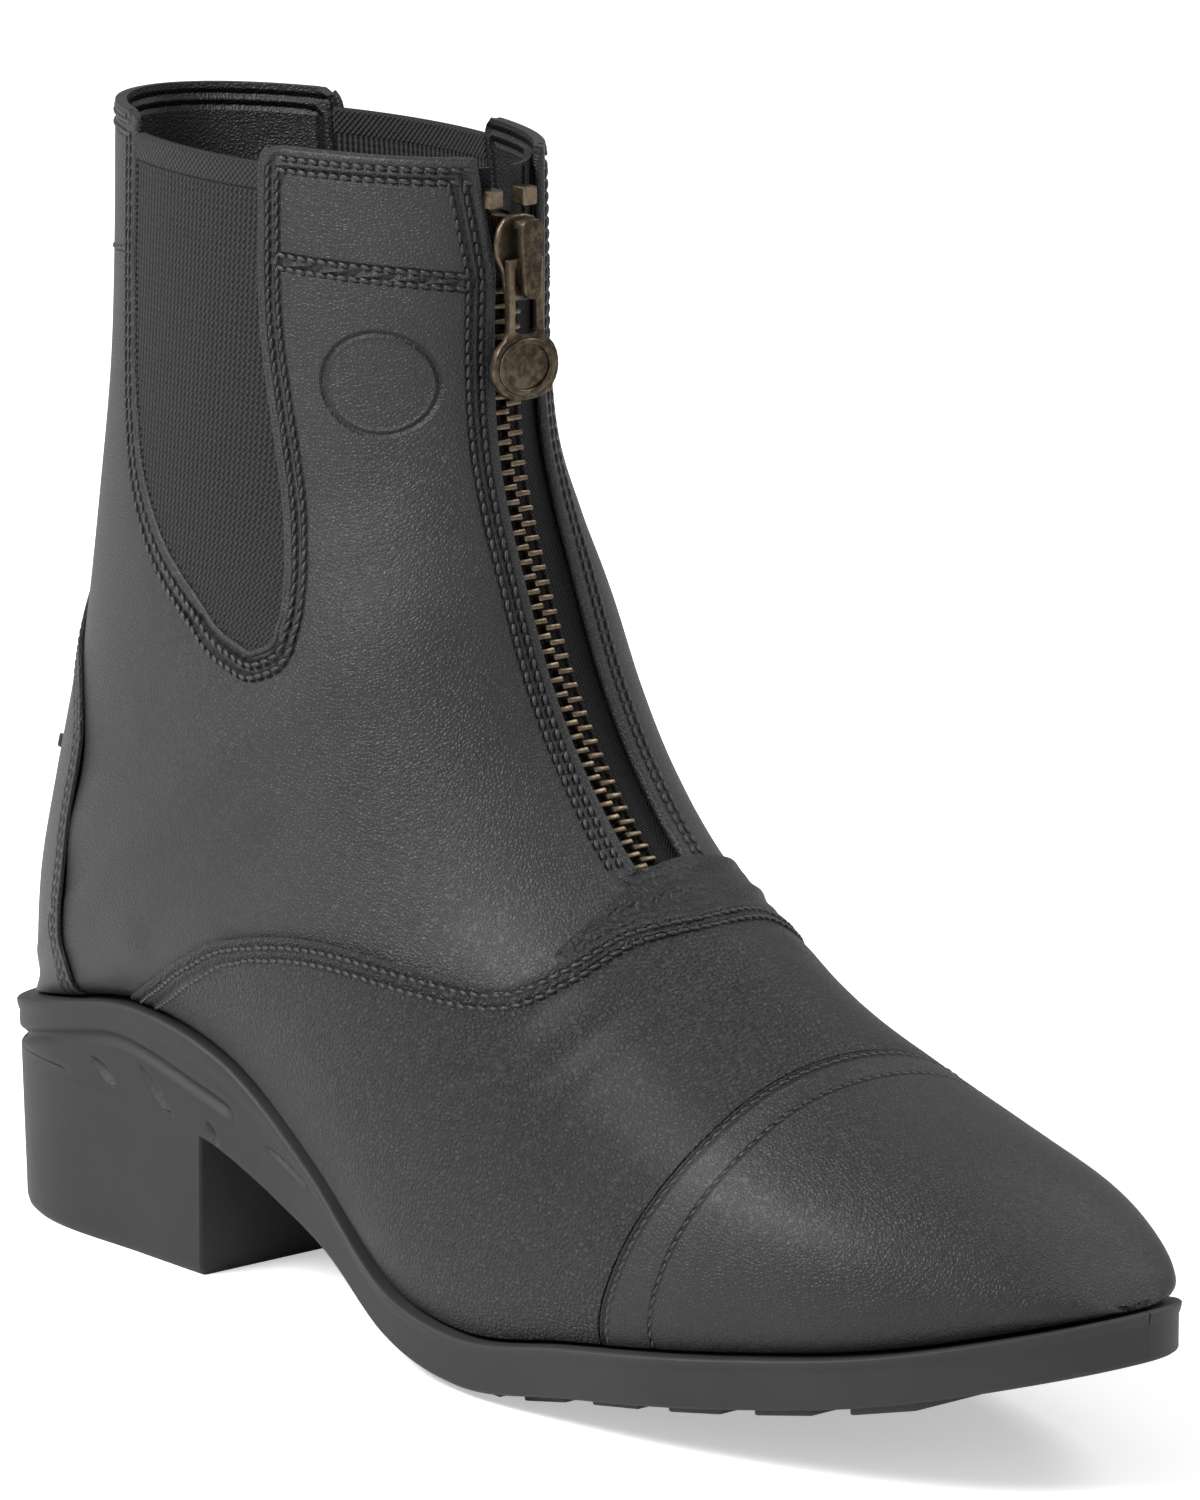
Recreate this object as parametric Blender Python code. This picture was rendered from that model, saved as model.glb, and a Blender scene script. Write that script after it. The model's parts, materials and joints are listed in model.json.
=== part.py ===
"""Paddock boot for the right foot, each sub-part a solid of its own.

Metres, +Z up, toe at +X, the little-toe side at -Y. The origin is under the middle of the
sole's outline. Every leather piece comes from one last: a fan of sections from the toe,
over the instep and up the back seam, so a change of length, width or height moves them all.
"""
import bpy
import bmesh
from math import acos, asin, cos, pi, radians, sin
from mathutils import Vector

# Driving sizes
SOLE_LENGTH = 0.266
BALL_WIDTH = 0.092
BOOT_HEIGHT = 0.201
RIM_HEIGHT = 0.0455         # the rim's highest point, at the waist
RIM = 0.0035                # ledge of the sole outside the upper
SOLE_EDGE = 0.009           # height of the forefoot's side wall
LUG = 0.0016
WALL = 0.002                # quarter leather with its lining
OVERLAY = 0.0012            # toe cap, vamp and counter leather
GUSSET = 0.0008
ELASTIC = 0.0014
INSOLE = 0.004
FEATHER = 0.0004            # upper's edge above the line of the rim
GAP = 0.0003                # rest clearance between touching pieces
LIFT = 0.0006               # clearance of a curved overlay over the quarter
TAPE = 0.0007
TAPE_WIDTH = 0.009          # from the teeth to the tape's sewn edge
TAPE_OPEN = 0.0022          # half the gap of the tapes above the slider
TAPE_CLEAR = 0.0007         # clearance of the tape under the quarter
CHAIN_WIDTH = 0.0058
CHAIN_HEIGHT = 0.0028
TOOTH_PITCH = 0.0026
SLOT_SIDE = 0.0036          # teeth to the edge of the near quarter
SLOT_FAR = 0.010            # teeth to the edge of the far quarter
SLIDER_LENGTH = 0.0147
SLIDER_WIDTH = 0.010
SLIDER_PLATE = 0.0012
SLIDER_TOP = 0.0095         # collar down to the slider
BRIDGE_WIDTH = 0.0034
BRIDGE_HEIGHT = 0.0035
BRIDGE_BAR = 0.0013
PULL_BAR = 0.0013           # thickness of the pull tab
PULL_LENGTH = 0.0235
PULL_WIDTH = 0.0139
PULL_WINDOW = 0.0115
PULL_RAIL = 0.0014
STOP_SIZE = 0.0026
HEEL_BREAST = 0.0735        # back of the sole to the front of the heel block
HEEL_TAPER = 0.0012
SPUR_REST = 0.0028
DIMPLE_HEIGHT = 0.0026      # leaf-shaped hollows in the side wall
DIMPLE_DEPTH = 0.0016
DIMPLE_DROP = 0.0135        # rim down to the middle of a hollow
DIMPLE_TILT = radians(40)
BARS = 7                    # tread bars

# Sole outline. Along is an angle share from heel to toe, the rest are shares of BALL_WIDTH.
#          along  lateral medial centre
OUTLINE = [(0.00, 0.790, 0.785, 0.000),
           (0.15, 0.704, 0.700, 0.000),
           (0.30, 0.440, 0.440, -0.009),
           (0.42, 0.357, 0.343, -0.015),
           (0.52, 0.423, 0.388, -0.006),
           (0.64, 0.476, 0.456, 0.023),
           (0.75, 0.503, 0.498, 0.064),
           (0.86, 0.546, 0.552, 0.115),
           (1.00, 0.606, 0.606, 0.165)]

# Rim of the sole seen from the side: share of SOLE_LENGTH, share of RIM_HEIGHT.
RIM_LINE = [(0.00, 0.780), (0.12, 0.930), (0.20, 1.000), (0.30, 0.900), (0.40, 0.592),
            (0.50, 0.290), (0.58, 0.227), (0.68, 0.320), (0.80, 0.420), (0.90, 0.520), (1.00, 0.675)]

# Height of the side wall: share of SOLE_LENGTH, share of SOLE_EDGE.
EDGE_LINE = [(0.00, 0.87), (0.10, 1.36), (0.18, 1.84), (0.26, 1.95), (0.316, 1.88), (0.357, 1.64),
             (0.395, 1.34), (0.44, 1.05), (0.50, 0.96), (0.56, 1.00), (1.00, 1.00)]

# Hollows: place and length as shares of SOLE_LENGTH.
DIMPLES = [(0.176, 0.032), (0.233, 0.050), (0.291, 0.018)]

# Tread bars: first and last place as shares of SOLE_LENGTH, and the bar's share of its pitch.
BARS_START, BARS_END = 0.505, 0.935
BAR_SHARE = 0.62

# Back seam from the rim (0) to the collar (1), and how far it leans in, share of SOLE_LENGTH.
BACK_LINE = [(0.00, 0.0000), (0.10, -0.0025), (0.21, 0.0080), (0.33, 0.0235), (0.45, 0.0360),
             (0.57, 0.0470), (0.69, 0.0560), (0.84, 0.0590), (1.00, 0.0582)]

# The last, a row per section. Bottom: 1 toe to 0 heel along the outline, then down to -1 up
# the back seam. Crown: share of SOLE_LENGTH, and share of the way from the rim at the toe
# to BOOT_HEIGHT. Half widths: shares of
# BALL_WIDTH. Widest: share of the way from crown to bottom. Then the two roundnesses.
#        bottom  crown_x crown_z lateral medial widest top  low
LAST = [(1.000, 0.9868, 0.0000, 0.011, 0.011, 0.50, 2.2, 2.4),
        (0.930, 0.9650, 0.0286, 0.134, 0.136, 0.60, 2.2, 2.6),
        (0.860, 0.9340, 0.0663, 0.228, 0.230, 0.66, 2.2, 2.8),
        (0.790, 0.8910, 0.1012, 0.315, 0.317, 0.70, 2.2, 3.0),
        (0.710, 0.8330, 0.1330, 0.380, 0.381, 0.74, 2.2, 3.0),
        (0.630, 0.7720, 0.1738, 0.418, 0.419, 0.76, 2.1, 3.0),
        (0.540, 0.7125, 0.2192, 0.435, 0.436, 0.72, 2.0, 2.6),
        (0.440, 0.6530, 0.2688, 0.435, 0.433, 0.62, 2.0, 2.3),
        (0.330, 0.5950, 0.3213, 0.428, 0.425, 0.55, 2.1, 2.1),
        (0.210, 0.5455, 0.3992, 0.432, 0.428, 0.53, 2.3, 2.0),
        (0.090, 0.5085, 0.4865, 0.432, 0.422, 0.50, 2.4, 2.1),
        (0.000, 0.4815, 0.5810, 0.424, 0.402, 0.48, 2.4, 2.15),
        (-0.178, 0.4635, 0.6577, 0.384, 0.372, 0.48, 2.2, 2.05),
        (-0.360, 0.4545, 0.7262, 0.346, 0.341, 0.49, 2.0, 2.0),
        (-0.571, 0.4525, 0.8111, 0.322, 0.322, 0.50, 1.9, 2.0),
        (-0.782, 0.4545, 0.9032, 0.302, 0.302, 0.50, 1.9, 2.0),
        (-1.000, 0.4560, 1.0000, 0.285, 0.285, 0.50, 1.9, 2.0)]
COLLAR_ROW = len(LAST) - 1
HEEL_ROW = 11               # the section that meets the back of the rim
INSTEP_X = 0.47             # crown follows the sole's curve from here forward
INSTEP_RUN = 0.15
TOE_ROW = 0.6               # the crown rises out of the rim over this much of a row

# Edges of the pieces, in rows of the last by share of the way down from the crown.
CAP_EDGE = [(0.00, 5.10), (0.10, 5.08), (0.25, 4.98), (0.45, 4.94), (1.00, 4.88)]
VAMP_EDGE = [(0.00, 7.30), (0.11, 7.33), (0.20, 7.20), (0.27, 7.22), (0.35, 7.65), (0.43, 8.18),
             (0.50, 8.48), (0.64, 8.52), (0.80, 8.42), (1.00, 8.36)]
GUSSET_EDGE = [(-0.20, 7.30), (-0.10, 7.64), (0.00, 7.98), (0.10, 8.00), (0.20, 7.88), (0.30, 7.62),
               (0.37, 7.80)]
# Counter: row of the last, share where its edge runs.
COUNTER_EDGE = [(8.72, 1.000), (9.10, 0.880), (9.90, 0.738), (10.80, 0.660), (11.50, 0.640),
                (12.20, 0.648), (12.80, 0.715), (13.45, 0.860)]
# Elastic gore from the side: share of BOOT_HEIGHT, back and front edge as shares of SOLE_LENGTH.
GORE = [(0.573, 0.341, 0.347), (0.580, 0.318, 0.360), (0.600, 0.286, 0.3665), (0.630, 0.245, 0.3655),
        (0.680, 0.207, 0.355), (0.745, 0.184, 0.341), (0.840, 0.171, 0.324), (0.950, 0.166, 0.317),
        (1.050, 0.164, 0.315)]

UPPER_ROWS = [0, 0.5, 1, 1.5, 2, 2.5, 3, 3.5, 4, 4.5, 5, 5.5, 6, 6.5, 7, 7.25, 7.5, 7.75,
              8, 8.25, 8.5, 8.75, 9, 9.25, 9.5, 10, 10.5, 11, 11.5, 12, 12.5, 13, 13.5, 14, 15, 16]
SHARES = [0, 0.04, 0.09, 0.15, 0.22, 0.30, 0.39, 0.48, 0.57, 0.67, 0.77, 0.86, 0.94, 1]
SOLE_CUTS = 50              # cuts along the sole
SEAM_ROWS = 0.04            # rows left open between the cap and the vamp
ZIP_FOOT = 8.02             # row where the zip ends above the gusset
TAPE_TOP = COLLAR_ROW - 0.12
SPUR_ROW = 12.48
SLOT_SPREAD = 0.8           # how much the zip opening widens over the top row

COLOURS = {"leather": ((0.045, 0.046, 0.049), 0.48, 0.0), "rubber": ((0.050, 0.051, 0.054), 0.62, 0.0),
           "fabric": ((0.022, 0.023, 0.025), 0.85, 0.0), "brass": ((0.23, 0.17, 0.11), 0.38, 1.0)}


def smooth(table, column, at):
    """One column of a table, on a soft curve through its rows."""
    xs = [row[0] for row in table]
    ys = [row[column] for row in table]
    at = min(max(at, xs[0]), xs[-1])
    i = 0
    while i < len(xs) - 2 and at > xs[i + 1]:
        i += 1

    def slope(j):
        if j == 0:
            return (ys[1] - ys[0]) / (xs[1] - xs[0])
        if j == len(xs) - 1:
            return (ys[-1] - ys[-2]) / (xs[-1] - xs[-2])
        before, after = xs[j] - xs[j - 1], xs[j + 1] - xs[j]
        rise_before, rise_after = (ys[j] - ys[j - 1]) / before, (ys[j + 1] - ys[j]) / after
        return (rise_before * after + rise_after * before) / (before + after)

    run = xs[i + 1] - xs[i]
    t = (at - xs[i]) / run
    return (ys[i] * (1 + 2 * t) * (1 - t) ** 2 + slope(i) * run * t * (1 - t) ** 2
            + ys[i + 1] * t * t * (3 - 2 * t) + slope(i + 1) * run * t * t * (t - 1))


INDEXED_LAST = [(float(i),) + row for i, row in enumerate(LAST)]


def outline(along, inset=0.0):
    """Distance from the back, half widths and centre line of the sole's outline, set in."""
    x = inset + (SOLE_LENGTH - 2 * inset) * (1 - cos(pi * along)) / 2
    swell = sin(pi * along)
    cut = inset * min(1.0, 3 * swell)
    lateral = max(BALL_WIDTH * swell * smooth(OUTLINE, 1, along) - cut, 0.0)
    medial = max(BALL_WIDTH * swell * smooth(OUTLINE, 2, along) - cut, 0.0)
    return x, lateral, medial, BALL_WIDTH * smooth(OUTLINE, 3, along)


def outline_middle():
    """The middle of the outline's two sides, which the origin lies under."""
    steps = [outline(i / 60) for i in range(61)]
    return (min(c - w for _, w, _, c in steps) + max(c + m for _, _, m, c in steps)) / 2


MIDDLE = outline_middle()


def along_at(x):
    """The outline's angle share at a distance from the back of the sole."""
    return acos(min(max(1 - 2 * x / SOLE_LENGTH, -1.0), 1.0)) / pi


def rim(x):
    return RIM_HEIGHT * smooth(RIM_LINE, 1, x / SOLE_LENGTH)


def sole_bottom(x):
    return rim(x) - SOLE_EDGE * smooth(EDGE_LINE, 1, x / SOLE_LENGTH)


def place(x, y, z):
    """A point measured from the back of the sole, in the part's own frame."""
    return Vector((x - SOLE_LENGTH / 2, y - MIDDLE, z))


def bottom_point(bottom, grow):
    """Where a section ends: on the feather line, or on the back seam above it."""
    if bottom >= 0:
        x, lateral, medial, centre = outline(bottom, RIM - grow)
        return x, rim(x) + FEATHER, lateral, medial, centre
    seat = rim(0.0) + FEATHER
    z = seat - bottom * (BOOT_HEIGHT - seat)
    return RIM - grow + SOLE_LENGTH * smooth(BACK_LINE, 1, -bottom), z, 0.0, 0.0, 0.0


def crown(row):
    toe = rim(SOLE_LENGTH)
    return SOLE_LENGTH * smooth(INDEXED_LAST, 2, row), toe + (BOOT_HEIGHT - toe) * smooth(INDEXED_LAST, 3, row)


def crown_point(row, grow):
    """The section's top in the middle plane, moved out by grow."""
    x, z = crown(row)
    ahead, behind = crown(min(row + 0.05, COLLAR_ROW)), crown(max(row - 0.05, 0.0))
    run, rise = ahead[0] - behind[0], ahead[1] - behind[1]
    size = (run * run + rise * rise) ** 0.5
    x, z = x + grow * rise / size, z - grow * run / size
    toe = bottom_point(1.0, grow)
    rooted = min(1.0, row / TOE_ROW)
    return toe[0] + (x - toe[0]) * rooted, toe[1] + (z - toe[1]) * rooted


def crown_centre(x):
    fade = min(1.0, max(0.0, (x / SOLE_LENGTH - INSTEP_X) / INSTEP_RUN))
    return BALL_WIDTH * smooth(OUTLINE, 3, along_at(x)) * fade


def on_last(row, share, side, grow=0.0):
    """A point of the last: row of the section, share of the way down, side -1 or 1, offset."""
    top_x, top_z = crown_point(row, grow)
    end_x, end_z, lateral, medial, end_centre = bottom_point(smooth(INDEXED_LAST, 1, row), grow)
    width = BALL_WIDTH * smooth(INDEXED_LAST, 4 if side < 0 else 5, row) + grow
    foot = lateral if side < 0 else medial
    width = max(width, foot * 1.002, GAP)
    widest, top_round, low_round = (smooth(INDEXED_LAST, column, row) for column in (6, 7, 8))
    if share < 0.5:
        angle = share * pi
        across = sin(angle) ** (2 / top_round)
        down = widest * (1 - cos(angle) ** (2 / top_round))
    else:
        spread = min(foot / width, 0.998)
        angle = (2 * share - 1) * acos(spread ** (low_round / 2))
        across = cos(angle) ** (2 / low_round)
        deep = (1 - spread ** low_round) ** (1 / low_round)
        down = widest + (1 - widest) * sin(angle) ** (2 / low_round) / deep
    top_centre = crown_centre(top_x)
    y = top_centre + (end_centre - top_centre) * down + side * width * across
    return place(top_x + (end_x - top_x) * down, y, top_z + (end_z - top_z) * down)


def share_at(row, y, grow=0.0):
    """The place on the last that lies y beside the zip line: row, share and side."""
    side = -1 if y < 0 else 1
    offset = abs(y - crown_centre(crown_point(row, grow)[0]))
    width = BALL_WIDTH * smooth(INDEXED_LAST, 4 if side < 0 else 5, row) + grow
    return row, asin((offset / width) ** (smooth(INDEXED_LAST, 7, row) / 2)) / pi, side


def row_at_height(z):
    """The row whose crown is at height z."""
    low, high = 0.0, float(COLLAR_ROW)
    for _ in range(40):
        mid = (low + high) / 2
        low, high = (mid, high) if crown(mid)[1] < z else (low, mid)
    return low


def material(name):
    colour, rough, metal = COLOURS[name]
    made = bpy.data.materials.get(name) or bpy.data.materials.new(name)
    made.use_nodes = True
    shader = made.node_tree.nodes["Principled BSDF"]
    shader.inputs["Base Color"].default_value = colour + (1,)
    shader.inputs["Roughness"].default_value = rough
    shader.inputs["Metallic"].default_value = metal
    return made


def add_object(name, bm, look):
    """Close the bmesh into an object of its own."""
    bmesh.ops.remove_doubles(bm, verts=bm.verts, dist=1e-6)
    bmesh.ops.recalc_face_normals(bm, faces=bm.faces)
    mesh = bpy.data.meshes.new(name)
    bm.to_mesh(mesh)
    bm.free()
    mesh.shade_smooth()
    mesh.set_sharp_from_angle(angle=radians(35))
    made = bpy.data.objects.new(name, mesh)
    mesh.materials.append(material(look))
    bpy.context.collection.objects.link(made)
    return made


def boolean(target, tool, operation):
    """Cut, keep or join with another object, which stays hidden as a guide."""
    tool.hide_render = True
    tool.display_type = "WIRE"
    cut = target.modifiers.new(tool.name, "BOOLEAN")
    cut.object = tool
    cut.operation = operation
    cut.solver = "EXACT"


def corner(row, share, side):
    """One key for places that fall together: the toe, the crown line and the back seam."""
    if row <= 0:
        return 0.0, 0.0, 1
    if share <= 0 or (share >= 1 and row >= HEEL_ROW):
        side = 1
    return round(row, 6), round(share, 6), side


def skin(name, cells, outside, inside, look):
    """A closed sheet between two offsets of the last, from cells of places on it."""
    bm = bmesh.new()
    layers = {}

    def vertex(key, grow):
        if (key, grow) not in layers:
            layers[key, grow] = bm.verts.new(on_last(*key, grow))
        return layers[key, grow]

    borders = {}
    for cell in cells:
        keys = []
        for spot in cell:
            key = corner(*spot)
            if key not in keys:
                keys.append(key)
        if len(keys) < 3:
            continue
        bm.faces.new([vertex(key, outside) for key in keys])
        bm.faces.new([vertex(key, inside) for key in reversed(keys)])
        for a, b in zip(keys, keys[1:] + keys[:1]):
            if (b, a) in borders:
                del borders[b, a]
            else:
                borders[a, b] = True
    for a, b in borders:
        bm.faces.new([vertex(b, outside), vertex(a, outside), vertex(a, inside), vertex(b, inside)])
    return add_object(name, bm, look)


def grid(columns):
    """Cells between neighbouring columns, each a list of places of the same length."""
    return [(left[i], right[i], right[i + 1], left[i + 1])
            for left, right in zip(columns, columns[1:]) for i in range(len(left) - 1)]


def over_the_foot(low, high, steps):
    """Columns from the lateral edge over the crown to the medial edge, between two edge lines."""
    spots = [(share, -1) for share in reversed(SHARES)] + [(share, 1) for share in SHARES[1:]]
    return [[(low(share) + (high(share) - low(share)) * i / steps, share, side) for i in range(steps + 1)]
            for share, side in spots]


def prism(name, points, near, far):
    """A side-view outline of (x, z) points, drawn out across the boot."""
    bm = bmesh.new()
    first = [bm.verts.new(place(x, near, z)) for x, z in points]
    second = [bm.verts.new(place(x, far, z)) for x, z in points]
    bm.faces.new(first)
    bm.faces.new(list(reversed(second)))
    for i, vert in enumerate(first):
        after = (i + 1) % len(first)
        bm.faces.new([first[after], vert, second[i], second[after]])
    return add_object(name, bm, "rubber")


def rail(name, stations, look):
    """A bar along the zip line: each station is row, two sides across and two offsets."""
    bm = bmesh.new()
    rings = []
    for row, near, far, low, high in stations:
        inner, outer = crown_point(row, low), crown_point(row, high)
        rings.append([bm.verts.new(place(x, y, z)) for (x, z), y in
                      ((inner, near), (inner, far), (outer, far), (outer, near))])
    for a, b in zip(rings, rings[1:]):
        for i in range(4):
            bm.faces.new([a[i], a[(i + 1) % 4], b[(i + 1) % 4], b[i]])
    bm.faces.new(rings[0])
    bm.faces.new(list(reversed(rings[-1])))
    return add_object(name, bm, look)


def block(name, low, high):
    """A box between two corners measured from the back of the sole."""
    bm = bmesh.new()
    bmesh.ops.create_cube(bm, size=1)
    a, b = place(*low), place(*high)
    for vert in bm.verts:
        vert.co = Vector(((a[i] + b[i]) / 2 + vert.co[i] * (b[i] - a[i]) for i in range(3)))
    return add_object(name, bm, "brass")


def slot_near(row):
    """Near edge of the zip opening, which spreads a little at the collar."""
    return -SLOT_SIDE * (1 + SLOT_SPREAD * max(0.0, row - COLLAR_ROW + 1.2))


def make_upper():
    """Quarters and lining as one hollow shell, open at the collar, zip, gores and sole."""
    spots = [(share, -1) for share in reversed(SHARES)] + [(share, 1) for share in SHARES[1:]]
    upper = skin("upper", grid([[(row, share, side) for row in UPPER_ROWS] for share, side in spots]),
                 0.0, -WALL, "leather")
    reach = 6 * WALL
    rows = [ZIP_FOOT + (COLLAR_ROW - ZIP_FOOT) * i / 24 for i in range(25)]
    slot = rail("zip_opening", [(row, slot_near(row), SLOT_FAR, -reach, reach) for row in rows], "rubber")
    for vert in slot.data.vertices[-4:]:
        vert.co.z += reach
    boolean(upper, slot, "DIFFERENCE")
    for name, side in (("lateral", -1), ("medial", 1)):
        window = prism("gore_window_" + name, gore_outline(0.0, 1.03), side * RIM * 2, side * BALL_WIDTH)
        boolean(upper, window, "DIFFERENCE")
    return upper


def gore_outline(inset, top):
    """Side view of the gore as a ring of (x, z) points, up to a share of the height."""
    foot = GORE[0][0]
    heights = [foot + (top - foot) * (i / 12) ** 1.6 for i in range(13)]
    back = [(SOLE_LENGTH * smooth(GORE, 1, h) + inset, BOOT_HEIGHT * h + inset) for h in heights]
    front = [(SOLE_LENGTH * smooth(GORE, 2, h) - inset, BOOT_HEIGHT * h + inset) for h in heights]
    return back + list(reversed(front))


def make_gore(name, side):
    """Elastic set in the quarter's cut-out, a little below its face."""
    shares = [0.22 + 0.05 * i for i in range(13)]
    rows = [10 + 0.5 * i for i in range(12)] + [COLLAR_ROW - 0.1]
    columns = [[(row, share, side) for row in rows] for share in (shares if side > 0 else shares[::-1])]
    gore = skin(name, grid(columns), -GAP, -GAP - ELASTIC, "fabric")
    keep = prism(name + "_outline", gore_outline(GAP, 0.99), side * RIM * 2, side * BALL_WIDTH)
    boolean(gore, keep, "INTERSECT")
    return gore


def cap_row(share):
    return smooth(CAP_EDGE, 1, share)


def vamp_row(share):
    return smooth(VAMP_EDGE, 1, share)


def make_toe_cap():
    columns = over_the_foot(lambda share: 0.0, cap_row, 9)
    return skin("toe_cap", grid(columns), LIFT + OVERLAY, LIFT, "leather")


def make_vamp():
    start = lambda share: cap_row(share) + SEAM_ROWS
    return skin("vamp", grid(over_the_foot(start, vamp_row, 12)), LIFT + OVERLAY, LIFT, "leather")


def make_gusset():
    """Soft leather between the foot of the zip and the vamp."""
    first, last_spread = GUSSET_EDGE[0][0], GUSSET_EDGE[-1][0]
    spreads = [-share for share in SHARES[:0:-1] if -share > first]
    spreads = [first] + spreads + [share for share in SHARES if share < last_spread] + [last_spread]
    columns = []
    for spread in spreads:
        low = vamp_row(abs(spread)) + 1.5 * SEAM_ROWS
        high = max(smooth(GUSSET_EDGE, 1, spread), low + SEAM_ROWS)
        side = -1 if spread < 0 else 1
        columns.append([(low + (high - low) * j / 4, abs(spread), side) for j in range(5)])
    return skin("gusset", grid(columns), LIFT + GUSSET, LIFT, "leather")


def make_counter():
    """Counter strip up the back seam, in two arms round the heel seat."""
    first, last_row = COUNTER_EDGE[0][0], COUNTER_EDGE[-1][0]
    rows = [first] + [row for row in UPPER_ROWS if first < row < last_row] + [last_row]
    columns = []
    for side in (-1, 1):
        arms = [[(row, max(share, smooth(COUNTER_EDGE, 1, row)), side) for row in rows]
                for share in SHARES if share > 0.5]
        columns += grid(arms if side < 0 else arms[::-1])
    return skin("counter", columns, LIFT + OVERLAY, LIFT, "leather")


def make_spur_rest():
    """Small ledge across the counter that a spur strap sits on."""
    row_height = (LAST[12][0] - LAST[13][0]) * (BOOT_HEIGHT - rim(0.0))
    half = SPUR_REST / 2 / row_height
    spots = [(0.86, -1), (0.90, -1), (0.95, -1), (1, 1), (0.95, 1), (0.90, 1), (0.86, 1)]
    columns = [[(SPUR_ROW - half, share, side), (SPUR_ROW + half, share, side)] for share, side in spots]
    seat = LIFT + GAP + OVERLAY
    return skin("spur_rest", grid(columns), seat + SPUR_REST, seat, "rubber")


def tape_spread(row):
    """Half the gap between the two tapes: shut below the slider, open above its wedge."""
    wedge = row_at_height(BOOT_HEIGHT - SLIDER_TOP - 0.6 * SLIDER_LENGTH)
    return GAP / 2 + TAPE_OPEN * min(1.0, max(0.0, (row - wedge) / (TAPE_TOP - wedge) * 2.2))


def make_tape(name, side):
    rows = [ZIP_FOOT - 0.1 + (TAPE_TOP - ZIP_FOOT + 0.1) * i / 26 for i in range(27)]
    sewn = TAPE_WIDTH if side < 0 else TAPE_WIDTH + SLOT_FAR - SLOT_SIDE
    depth = -WALL - TAPE_CLEAR
    columns = []
    for j in range(5):
        columns.append([share_at(row, side * (tape_spread(row) + (sewn - tape_spread(row)) * j / 4), depth)
                        for row in rows])
    return skin(name, grid(columns if side > 0 else columns[::-1]), depth, depth - TAPE, "fabric")


def make_chain():
    """Both rows of teeth in mesh, as one comb along the zip line."""
    top = row_at_height(BOOT_HEIGHT - SLIDER_TOP - 0.5 * SLIDER_LENGTH)
    foot = ZIP_FOOT + 0.03
    length = 0.0
    last_spot = crown(foot)
    for i in range(1, 41):
        spot = crown(foot + (top - foot) * i / 40)
        length += ((spot[0] - last_spot[0]) ** 2 + (spot[1] - last_spot[1]) ** 2) ** 0.5
        last_spot = spot
    count = 2 * round(length / TOOTH_PITCH)
    low = -WALL - TAPE_CLEAR + GAP
    wide, slim = CHAIN_WIDTH / 2, CHAIN_WIDTH / 3
    stations = [(foot + (top - foot) * i / count, -(wide if i % 2 else slim), slim if i % 2 else wide,
                 low, low + CHAIN_HEIGHT) for i in range(count + 1)]
    return rail("zip_chain", stations, "brass")


def make_stops():
    """Metal stops clamped to the open ends of the two tapes."""
    top = BOOT_HEIGHT - SLIDER_TOP + GAP + STOP_SIZE / 4
    row = row_at_height(top + STOP_SIZE / 2)
    x = crown(row)[0]
    low = -WALL - TAPE_CLEAR + GAP
    spread = tape_spread(row)
    for name, side in (("zip_stop_lateral", -1), ("zip_stop_medial", 1)):
        near, far = sorted((side * spread, side * (spread + STOP_SIZE * 0.9)))
        block(name, (x + low, near, top), (x + low + STOP_SIZE, far, top + STOP_SIZE))


def slider_frame():
    """Foot height, top height and the surface line of the slider."""
    top = BOOT_HEIGHT - SLIDER_TOP
    foot = top - SLIDER_LENGTH
    return foot, top, crown(row_at_height((foot + top) / 2))[0]


def make_slider():
    """Two plates either side of the teeth, the wedge that joins them and the raised bridge."""
    foot, top, face = slider_frame()
    plate = face + 3 * GAP
    slider = block("slider", (plate, -SLIDER_WIDTH / 2, foot), (plate + SLIDER_PLATE, SLIDER_WIDTH / 2, top))
    bevel = slider.modifiers.new("rounded", "BEVEL")
    bevel.width = SLIDER_PLATE * 0.45
    bevel.segments = 2
    back = face - WALL - TAPE_CLEAR - TAPE - 5 * GAP
    inner = block("slider_back", (back - SLIDER_PLATE, -SLIDER_WIDTH * 0.4, foot + SLIDER_PLATE),
                  (back, SLIDER_WIDTH * 0.4, top - GAP))
    wedge = block("slider_wedge", (back - SLIDER_PLATE / 2, -0.7 * SLIDER_PLATE, top - SLIDER_LENGTH * 0.28),
                  (plate + SLIDER_PLATE / 2, 0.7 * SLIDER_PLATE, top - 2 * GAP))
    rise = plate + SLIDER_PLATE
    arch = block("slider_bridge", (plate + SLIDER_PLATE / 2, -BRIDGE_WIDTH / 2, foot + SLIDER_PLATE),
                 (rise + BRIDGE_HEIGHT, BRIDGE_WIDTH / 2, top - GAP))
    post = BRIDGE_BAR
    eye = block("slider_eye", (rise + GAP / 3, -BRIDGE_WIDTH, foot + SLIDER_PLATE + post),
                (rise + BRIDGE_HEIGHT - BRIDGE_BAR, BRIDGE_WIDTH, top - GAP - post))
    for tool in (inner, wedge, arch):
        boolean(slider, tool, "UNION")
    boolean(slider, eye, "DIFFERENCE")
    return slider


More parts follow.
